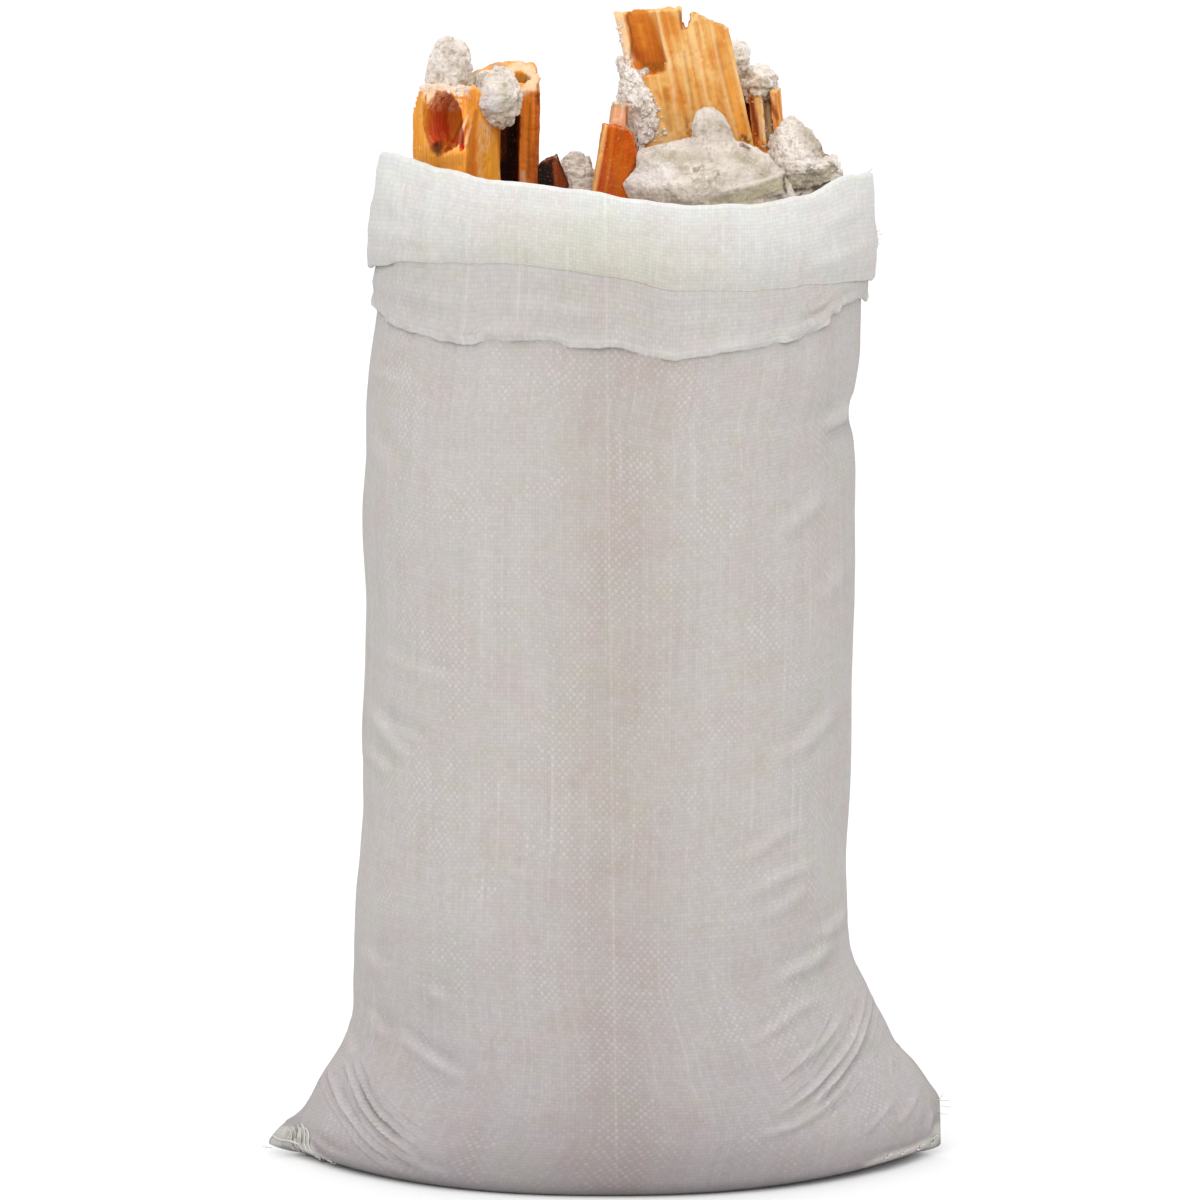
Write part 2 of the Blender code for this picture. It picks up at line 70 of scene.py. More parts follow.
# The sack by height: its reach to each side with and without the two sewn ears, and its depth
LEFT_REACH = [
    (0.000, 0.232), (0.004, 0.258), (0.010, 0.272), (0.020, 0.266), (0.040, 0.243), (0.062, 0.231),
    (0.078, 0.221), (0.095, 0.212), (0.111, 0.206), (0.128, 0.203), (0.193, 0.200), (0.258, 0.197),
    (0.291, 0.194), (0.517, 0.193), (0.582, 0.190), (0.638, 0.186), (0.700, 0.180), (0.811, 0.174),
]
RIGHT_REACH = [
    (0.000, 0.232), (0.004, 0.262), (0.009, 0.272), (0.045, 0.272), (0.062, 0.262), (0.078, 0.251),
    (0.095, 0.236), (0.111, 0.228), (0.128, 0.218), (0.144, 0.210), (0.160, 0.202), (0.177, 0.198),
    (0.250, 0.196), (0.340, 0.198), (0.453, 0.200), (0.582, 0.199), (0.608, 0.195), (0.622, 0.200),
    (0.658, 0.205), (0.700, 0.205), (0.811, 0.208),
]
CORE_LEFT = [
    (0.000, 0.238), (0.010, 0.252), (0.024, 0.250), (0.040, 0.241), (0.062, 0.231), (0.078, 0.221),
    (0.095, 0.212), *LEFT_REACH[8:],
]
CORE_RIGHT = [
    (0.000, 0.242), (0.010, 0.264), (0.040, 0.268), (0.062, 0.260), (0.078, 0.250), (0.095, 0.2355),
    *RIGHT_REACH[7:],
]
FRONT_DEPTH = [
    (0.000, 0.158), (0.020, 0.158), (0.070, 0.156), (0.150, 0.152), (0.290, 0.151), (0.500, 0.149),
    (0.640, 0.144), (0.800, 0.140),
]
BACK_DEPTH = [
    (0.000, 0.154), (0.020, 0.154), (0.070, 0.153), (0.150, 0.151), (0.290, 0.151), (0.500, 0.148),
    (0.640, 0.142), (0.800, 0.138),
]
# The section's shape by height: a lens with pointed ends at the foot, and a full oval higher up
FULLNESS = [(0.000, 2.3), (0.060, 2.5), (0.200, 2.4), (0.600, 2.4), (0.800, 2.2)]
BLUNTNESS = [(0.000, 0.80), (0.060, 0.92), (0.120, 0.66), (0.220, 0.42), (0.600, 0.417), (0.800, 0.455)]
# The ears' slope from their tips and half their thickness, the cloth wall, and its round edge at the floor
EAR_SLOPE = 0.35
EAR_HALF_THICKNESS = 0.0032
WALL = 0.003
BASE_EDGE = 0.014
# How far each band's hidden inner face reaches up behind it, and how high the rim is rounded
LOWER_TUCK = 0.020
UPPER_TUCK = 0.012
RIM_LIP = 0.0035
# The sack's mesh: points round it, and rows up its wall
COLUMNS = 380
WALL_ROWS = 164

# The turned mouth's edges: at the front in pixels, at the back in metres by place across the sack
RIM_PIXELS = [
    (380, 152), (412, 163), (455, 172), (470, 178), (545, 185), (590, 193), (620, 197), (700, 205),
    (750, 204), (790, 198), (820, 190), (845, 178), (872, 172),
]
UPPER_EDGE_PIXELS = [
    (371, 268), (403, 263), (490, 263), (560, 270), (631, 281), (683, 291), (753, 291), (823, 284),
    (869, 281),
]
LOWER_EDGE_PIXELS = [
    (374, 303), (398, 324), (417, 331), (436, 337), (456, 343), (475, 344), (502, 340), (532, 342),
    (570, 346), (618, 348), (637, 352), (654, 358), (677, 362), (697, 360), (735, 354), (773, 345),
    (811, 335), (830, 325), (850, 305), (866, 300),
]
RIM_BACK = [
    (-0.180, 0.809), (-0.150, 0.790), (-0.110, 0.784), (0.000, 0.783), (0.120, 0.777), (0.185, 0.781),
    (0.212, 0.795),
]
UPPER_EDGE_BACK = [(-0.190, 0.719), (-0.080, 0.727), (0.020, 0.722), (0.120, 0.727), (0.215, 0.722)]
LOWER_EDGE_BACK = [(-0.186, 0.694), (-0.110, 0.669), (0.000, 0.664), (0.090, 0.672), (0.207, 0.697)]

# Folds at the front, in pixels: each line's route, then how high and how wide it stands in metres
FOLD_DEPTH = 1.35
CORNER_FOLDS = [
    ([(345, 1058), (352, 1080), (362, 1105), (377, 1126), (396, 1144), (424, 1160)], 0.0024, 0.0026),
    ([(352, 1056), (360, 1080), (371, 1102), (388, 1124), (408, 1140)], 0.0020, 0.0022),
    ([(329, 1066), (335, 1084), (340, 1101), (352, 1122), (364, 1140)], 0.0020, 0.0026),
    ([(344, 1028), (350, 1044), (356, 1062)], 0.0010, 0.0040),
    ([(306, 1130), (318, 1142), (336, 1154), (360, 1163)], 0.0016, 0.0026),
    ([(396, 1146), (420, 1166), (452, 1178)], 0.0012, 0.0036),
    ([(376, 1160), (398, 1170), (428, 1180)], 0.0013, 0.0030),
    ([(873, 996), (866, 1020), (858, 1043), (845, 1065), (829, 1088), (812, 1107), (788, 1124)],
     0.0030, 0.0030),
    ([(866, 990), (860, 1014), (852, 1038), (838, 1060), (820, 1082), (800, 1102), (772, 1120)],
     0.0024, 0.0028),
    ([(846, 1006), (832, 1030), (815, 1050), (791, 1069), (772, 1086)], 0.0015, 0.0034),
    ([(856, 1068), (840, 1092), (818, 1112), (790, 1128), (746, 1139)], 0.0018, 0.0034),
    ([(892, 1050), (891, 1066), (892, 1084)], 0.0012, 0.0018),
    ([(898, 1050), (897, 1066), (897, 1080)], 0.0010, 0.0016),
    ([(894, 1096), (884, 1112), (872, 1126), (858, 1138)], 0.0012, 0.0026),
    ([(920, 1084), (914, 1100), (904, 1116), (890, 1128)], 0.0010, 0.0030),
    ([(934, 1108), (930, 1124), (926, 1140)], 0.0012, 0.0026),
    ([(866, 1163), (889, 1155), (909, 1150), (932, 1142)], 0.0013, 0.0022),
    ([(283, 1132), (300, 1147), (318, 1160), (336, 1167)], 0.0014, 0.0022),
    ([(304, 1122), (300, 1134), (294, 1150)], 0.0020, 0.0016),
    ([(297, 1122), (292, 1134), (286, 1149)], 0.0018, 0.0015),
    ([(290, 1123), (284, 1135), (277, 1149)], 0.0014, 0.0015),
]
SOFT_FOLDS = [
    ([(392, 1028), (414, 1047), (444, 1069), (470, 1084)], 0.0016, 0.0046),
    ([(368, 1006), (378, 1028), (392, 1046)], 0.0012, 0.0050),
    ([(419, 984), (441, 998), (460, 1007)], 0.0009, 0.0050),
    ([(362, 940), (372, 960), (390, 976)], 0.0012, 0.0060),
    ([(827, 990), (797, 1009), (764, 1036), (740, 1046)], 0.0013, 0.0044),
    ([(836, 936), (813, 960), (786, 973), (768, 988)], 0.0018, 0.0050),
    ([(848, 906), (832, 926), (812, 940)], 0.0014, 0.0050),
    ([(810, 816), (780, 834), (759, 850), (729, 865)], 0.0010, 0.0050),
    ([(822, 856), (791, 872), (764, 886), (735, 900)], 0.0010, 0.0050),
    ([(812, 880), (780, 908), (750, 920)], 0.0010, 0.0050),
    ([(842, 696), (819, 730), (800, 747), (768, 758)], 0.0013, 0.0056),
    ([(832, 486), (808, 511), (786, 528), (768, 537)], 0.0012, 0.0060),
    ([(848, 560), (832, 584), (814, 602)], 0.0009, 0.0060),
    ([(854, 404), (838, 418), (816, 424)], 0.0030, 0.0060),
    ([(368, 700), (384, 728), (402, 748), (424, 760)], 0.0016, 0.0050),
    ([(372, 716), (389, 724), (430, 748)], 0.0012, 0.0046),
    ([(372, 644), (406, 664), (430, 672), (471, 682)], 0.0010, 0.0050),
    ([(366, 742), (380, 762), (400, 776)], 0.0012, 0.0050),
    ([(497, 862), (512, 870), (536, 878)], 0.0007, 0.0040),
    ([(370, 366), (392, 376), (420, 380)], 0.0010, 0.0050),
    ([(366, 430), (384, 452), (398, 480)], 0.0008, 0.0060),
]
# The light hem of the bottom seam at each corner: a route in pixels, with its half width at each point
HEMS = [
    [(270, 1147, 3), (283, 1135, 9), (297, 1138, 11), (312, 1156, 5), (336, 1167, 3)],
    [(866, 1165, 2), (889, 1157, 3), (909, 1151, 3), (932, 1142, 5), (940, 1128, 5)],
]
# Fine folds in arcs round a point above each lower corner, drawn as painted highlight and shade lines and
# as bump:
# the point, its nearest radius and span, the angles between which they show in degrees, and each fold's
# radius, width and strength, all in pixels
Fan = namedtuple("Fan", "centre nearest span angles folds")
FANS = [
    Fan((470, 1040), 90.0, 80.0, (172, 164, 124, 108), [
        (101, 2.2, 0.4), (110, 2.2, 0.5), (118, 2.4, 1.0), (127, 2.4, 1.0), (136, 2.2, 0.5),
        (144, 2.4, 0.9), (153, 2.2, 0.5),
    ]),
    Fan((690, 960), 120.0, 100.0, (6, 14, 48, 62), [
        (150, 2.4, 0.7), (160, 2.2, 0.4), (170, 2.4, 0.5), (179, 2.5, 0.9), (188, 2.5, 1.0),
        (198, 2.2, 0.4), (207, 2.2, 0.4),
    ]),
]
BAND_FOLDS = [
    ([(392, 313), (420, 323), (455, 334), (500, 332), (560, 336), (620, 340), (662, 350)], 0.0012, 0.0024),
    ([(470, 334), (510, 334), (548, 337), (590, 343), (628, 346)], 0.0014, 0.0020),
    ([(684, 352), (730, 346), (780, 334), (818, 320)], 0.0012, 0.0024),
    ([(400, 286), (440, 300), (470, 306)], 0.0010, 0.0060),
    ([(500, 300), (560, 312), (640, 316)], 0.0010, 0.0070),
    ([(384, 170), (398, 190), (402, 216)], 0.0012, 0.0060),
    ([(800, 332), (818, 320), (832, 306), (842, 292)], 0.0022, 0.0030),
    ([(812, 334), (830, 322), (843, 310), (852, 298)], 0.0020, 0.0026),
    ([(806, 312), (822, 304), (836, 290)], 0.0014, 0.0026),
    ([(846, 330), (838, 316), (840, 302)], 0.0012, 0.0026),
    ([(874, 230), (856, 246), (832, 258), (800, 268)], 0.0026, 0.0060),
    ([(870, 250), (846, 266), (814, 276)], 0.0020, 0.0050),
    ([(860, 200), (838, 216), (812, 226)], 0.0014, 0.0060),
    ([(366, 240), (386, 252), (420, 258), (452, 258)], 0.0016, 0.0040),
    ([(370, 214), (392, 232), (430, 240)], 0.0012, 0.0060),
    ([(374, 306), (392, 322), (414, 331)], 0.0012, 0.0036),
    ([(452, 320), (486, 328), (530, 330)], 0.0010, 0.0050),
    ([(640, 346), (664, 354), (690, 354)], 0.0014, 0.0036),
    ([(560, 236), (620, 250), (690, 256)], 0.0010, 0.0080),
    ([(690, 232), (700, 252), (702, 276)], 0.0008, 0.0040),
]
# Folds at the back, in the pixels of a camera that looks from there: how far its corner folds lie from
# those of the front, how many others there are, and where the middle is. Then, for those others, how far
# they start from the middle, in which rows, and how long they are
BACK_SHIFT = (4, -12)
BACK_FOLDS = 16
MIDDLE_PX = 605
BACK_FOLD_ASIDE = (150, 240)
BACK_FOLD_ROWS = (380, 940)
BACK_FOLD_REACH = (35, 80)

# The cloth's colours and tints, and how much of them shows by height above the floor, a darkening that is
# partly dirt and partly painted shade
CLOTH_GREY = (0.452, 0.424, 0.400)
CLOTH_DARKER_MIDDLE = (0.412, 0.370, 0.340)
CLOTH_WHITE = (0.655, 0.655, 0.625)
CLOTH_HEM = (0.600, 0.590, 0.545)
CREAM_TINT = (0.970, 0.980, 0.880)
WARM_TINT = (1.0, 0.945, 0.950)
COOL_TINT = (0.975, 0.990, 0.925)
CREAM_HALF_WIDTH = 0.085
FLOOR_SOIL_AND_SHADE = [
    (0.000, (0.534, 0.526, 0.577)), (0.022, (0.670, 0.652, 0.705)), (0.045, (0.769, 0.749, 0.805)),
    (0.075, (0.845, 0.836, 0.890)), (0.130, (0.912, 0.912, 0.960)), (0.300, (0.965, 0.970, 0.990)),
]
SOIL_AND_SHADE_HEIGHT = 0.300
# The crease down the front, drawn as a painted highlight: its place across the sack, how much it drifts
# below this height, how bright the highlight is, and how fast that fades to each side
CREASE_PLACE = 0.0016
CREASE_LEAN = 0.0116
CREASE_TOP = 0.65
CREASE_HIGHLIGHT = 0.10
CREASE_FADING = 65.0
# How far round the sack the painted shade of each side's pressed crease reaches, as a sine
SIDE_CREASE = 0.16
# How wide the tapes are, up and round the sack
WARP_TAPE = 0.0027
WEFT_TAPE = 0.0032

# Fired clay: its uneven shades, the painted shade in its grooves and deep in its channels, and how each
# brick lies in degrees
Clay = namedtuple("Clay", "low middle high groove hollow turn")
CLAYS = {
    "hollow_brick_front_left": Clay(
        (0.66, 0.175, 0.016), (0.82, 0.300, 0.034), (0.88, 0.45, 0.115), (0.66, 0.17, 0.016),
        (0.80, 0.110, 0.020), (0, 0, -25),
    ),
    "hollow_brick_back_left": Clay(
        (0.40, 0.075, 0.010), (0.62, 0.145, 0.016), (0.84, 0.40, 0.130), (0.50, 0.10, 0.014),
        (0.05, 0.020, 0.016), (22, 0, 4),
    ),
    "hollow_brick_back_right": Clay(
        (0.52, 0.120, 0.014), (0.70, 0.270, 0.055), (0.84, 0.52, 0.220), (0.46, 0.09, 0.012),
        (0.26, 0.032, 0.012), (0, -5, -6),
    ),
    "grooved_brick_large": Clay(
        (0.60, 0.220, 0.040), (0.67, 0.350, 0.098), (0.76, 0.49, 0.205), (0.62, 0.17, 0.018),
        (0.82, 0.220, 0.022), (0, -12.5, 0),
    ),
    "brick_shard_tilted": Clay(
        (0.33, 0.040, 0.003), (0.41, 0.056, 0.003), (0.51, 0.11, 0.008), (0.34, 0.06, 0.006),
        (0.30, 0.05, 0.012), (-6, 10, 8),
    ),
    "brick_shard_dark": Clay(
        (0.018, 0.010, 0.009), (0.060, 0.016, 0.012), (0.24, 0.050, 0.024), (0.03, 0.010, 0.008),
        (0.02, 0.008, 0.007), (0, 0, -35),
    ),
    "brick_nub": Clay(
        (0.66, 0.300, 0.15), (0.78, 0.45, 0.27), (0.84, 0.60, 0.44), (0.64, 0.26, 0.12),
        (0.30, 0.10, 0.05), (0, 8, 12),
    ),
}
WORN_CLAY = (0.90, 0.62, 0.34)
MORTAR_DUST = (0.72, 0.64, 0.54)
BLACK = (0.0, 0.0, 0.0)

# Mortar and plaster: stained, common and clean shades, and the sand in them
Cement = namedtuple("Cement", "low middle high sand")
MORTAR = Cement((0.55, 0.475, 0.405), (0.71, 0.635, 0.570), (0.80, 0.730, 0.670), (0.32, 0.25, 0.18))
PLASTER = Cement((0.42, 0.360, 0.280), (0.555, 0.485, 0.420), (0.670, 0.595, 0.530), (0.32, 0.26, 0.17))

# How fine the remeshed pieces are
BRICK_VOXEL = 0.00115
MORTAR_VOXEL = 0.0009
HEAP_VOXEL = 0.0046
# How rough lumps are: how high and wide their knobs are, how high their grains stand, and how much of
# what the solid's corners lose in softening comes back
Rough = namedtuple("Rough", "knobs knob_size grains kept")
ROUGH_MORTAR = Rough(0.0011, 0.0062, 0.0005, 0.7)
ROUGH_PLASTER = Rough(0.0007, 0.0090, 0.0004, 0.8)
ROUGH_HEAP = Rough(0.0030, 0.0260, 0.0008, 0.6)
# Rays that feel how deep in a hollow a point lies, for the painted shade there: how far off it they start,
# their reach and their number
RAY_LIFT = 0.0012
RAY_REACH = 0.045
RAYS = 14

# Crumbs on what the camera sees: where and how wide in pixels, how many, and their radii in metres
Scatter = namedtuple("Scatter", "place spread count radii")
MORTAR_CRUMBS = [
    Scatter((432, 90), (10, 4), 16, (0.0008, 0.0018)),
    Scatter((458, 90), (12, 4), 18, (0.0008, 0.0020)),
    Scatter((619, 36), (3, 14), 20, (0.0008, 0.0018)),
    Scatter((627, 62), (4, 8), 22, (0.0009, 0.0022)),
    Scatter((636, 82), (9, 9), 34, (0.0010, 0.0028)),
    Scatter((645, 104), (10, 12), 44, (0.0010, 0.0028)),
    Scatter((654, 128), (9, 12), 40, (0.0010, 0.0026)),
    Scatter((764, 100), (8, 5), 10, (0.0008, 0.0018)),
    Scatter((768, 134), (5, 10), 14, (0.0008, 0.0020)),
    Scatter((818, 168), (20, 8), 16, (0.0008, 0.0022)),
    Scatter((704, 172), (20, 12), 16, (0.0006, 0.0014)),
]
CLAY_CRUMBS = [
    Scatter((762, 142), (7, 8), 10, (0.0008, 0.0018)),
]
# Where pieces swell or draw back: the pixel, the radius in pixels, and how far in metres
Swelling = namedtuple("Swelling", "place radius push")
SWELLINGS = {
    "plaster_lump_front": [
        Swelling((651, 154), 15.0, (-0.0110, 0.0000, 0.0040)),
        Swelling((634, 180), 18.0, (-0.0070, 0.0000, 0.0000)),
    ],
    "mortar_bed_on_large_brick": [
        Swelling((646, 140), 13.0, (-0.0040, -0.0010, -0.0120)),
        Swelling((638, 56), 9.0, (-0.0030, 0.0030, -0.0130)),
        Swelling((612, 76), 15.0, (0.0060, 0.0000, 0.0000)),
    ],
    "mortar_lump_left_top": [
        Swelling((430, 46), 8.0, (0.0018, 0.0000, 0.0000)),
        Swelling((429, 80), 8.0, (-0.0006, 0.0000, -0.0050)),
        Swelling((469, 83), 8.0, (0.0010, 0.0000, -0.0040)),
    ],
    "mortar_lump_left_middle": [
        Swelling((482, 100), 13.0, (-0.0080, -0.0030, 0.0000)),
        Swelling((486, 122), 10.0, (-0.0020, -0.0010, 0.0030)),
    ],
    "grooved_brick_large": [Swelling((686.5, 22), 5.0, (0.0000, 0.0000, -0.0050))],
    "mortar_lump_middle": [Swelling((565, 166), 12.0, (-0.0050, 0.0000, 0.0010))],
}
# Clay and mortar shades that the marks below use
# Black for painted shade
SHADE_BLACK = (0.020, 0.013, 0.011)
# Dark brown for dark specks and lines, and for painted shade and shadow
CHAR_AND_SHADE = (0.110, 0.035, 0.016)
GARNET = (0.40, 0.055, 0.022)
RUST = (0.60, 0.185, 0.022)
UMBER = (0.36, 0.130, 0.012)
AMBER = (0.80, 0.33, 0.050)
OCHRE = (0.86, 0.50, 0.17)
PEACH = (0.92, 0.62, 0.40)
# Light clay for painted highlights on rib crests
CREST_HIGHLIGHT = (0.84, 0.55, 0.27)
LIME = (0.74, 0.66, 0.58)
OLIVE = (0.40, 0.345, 0.225)
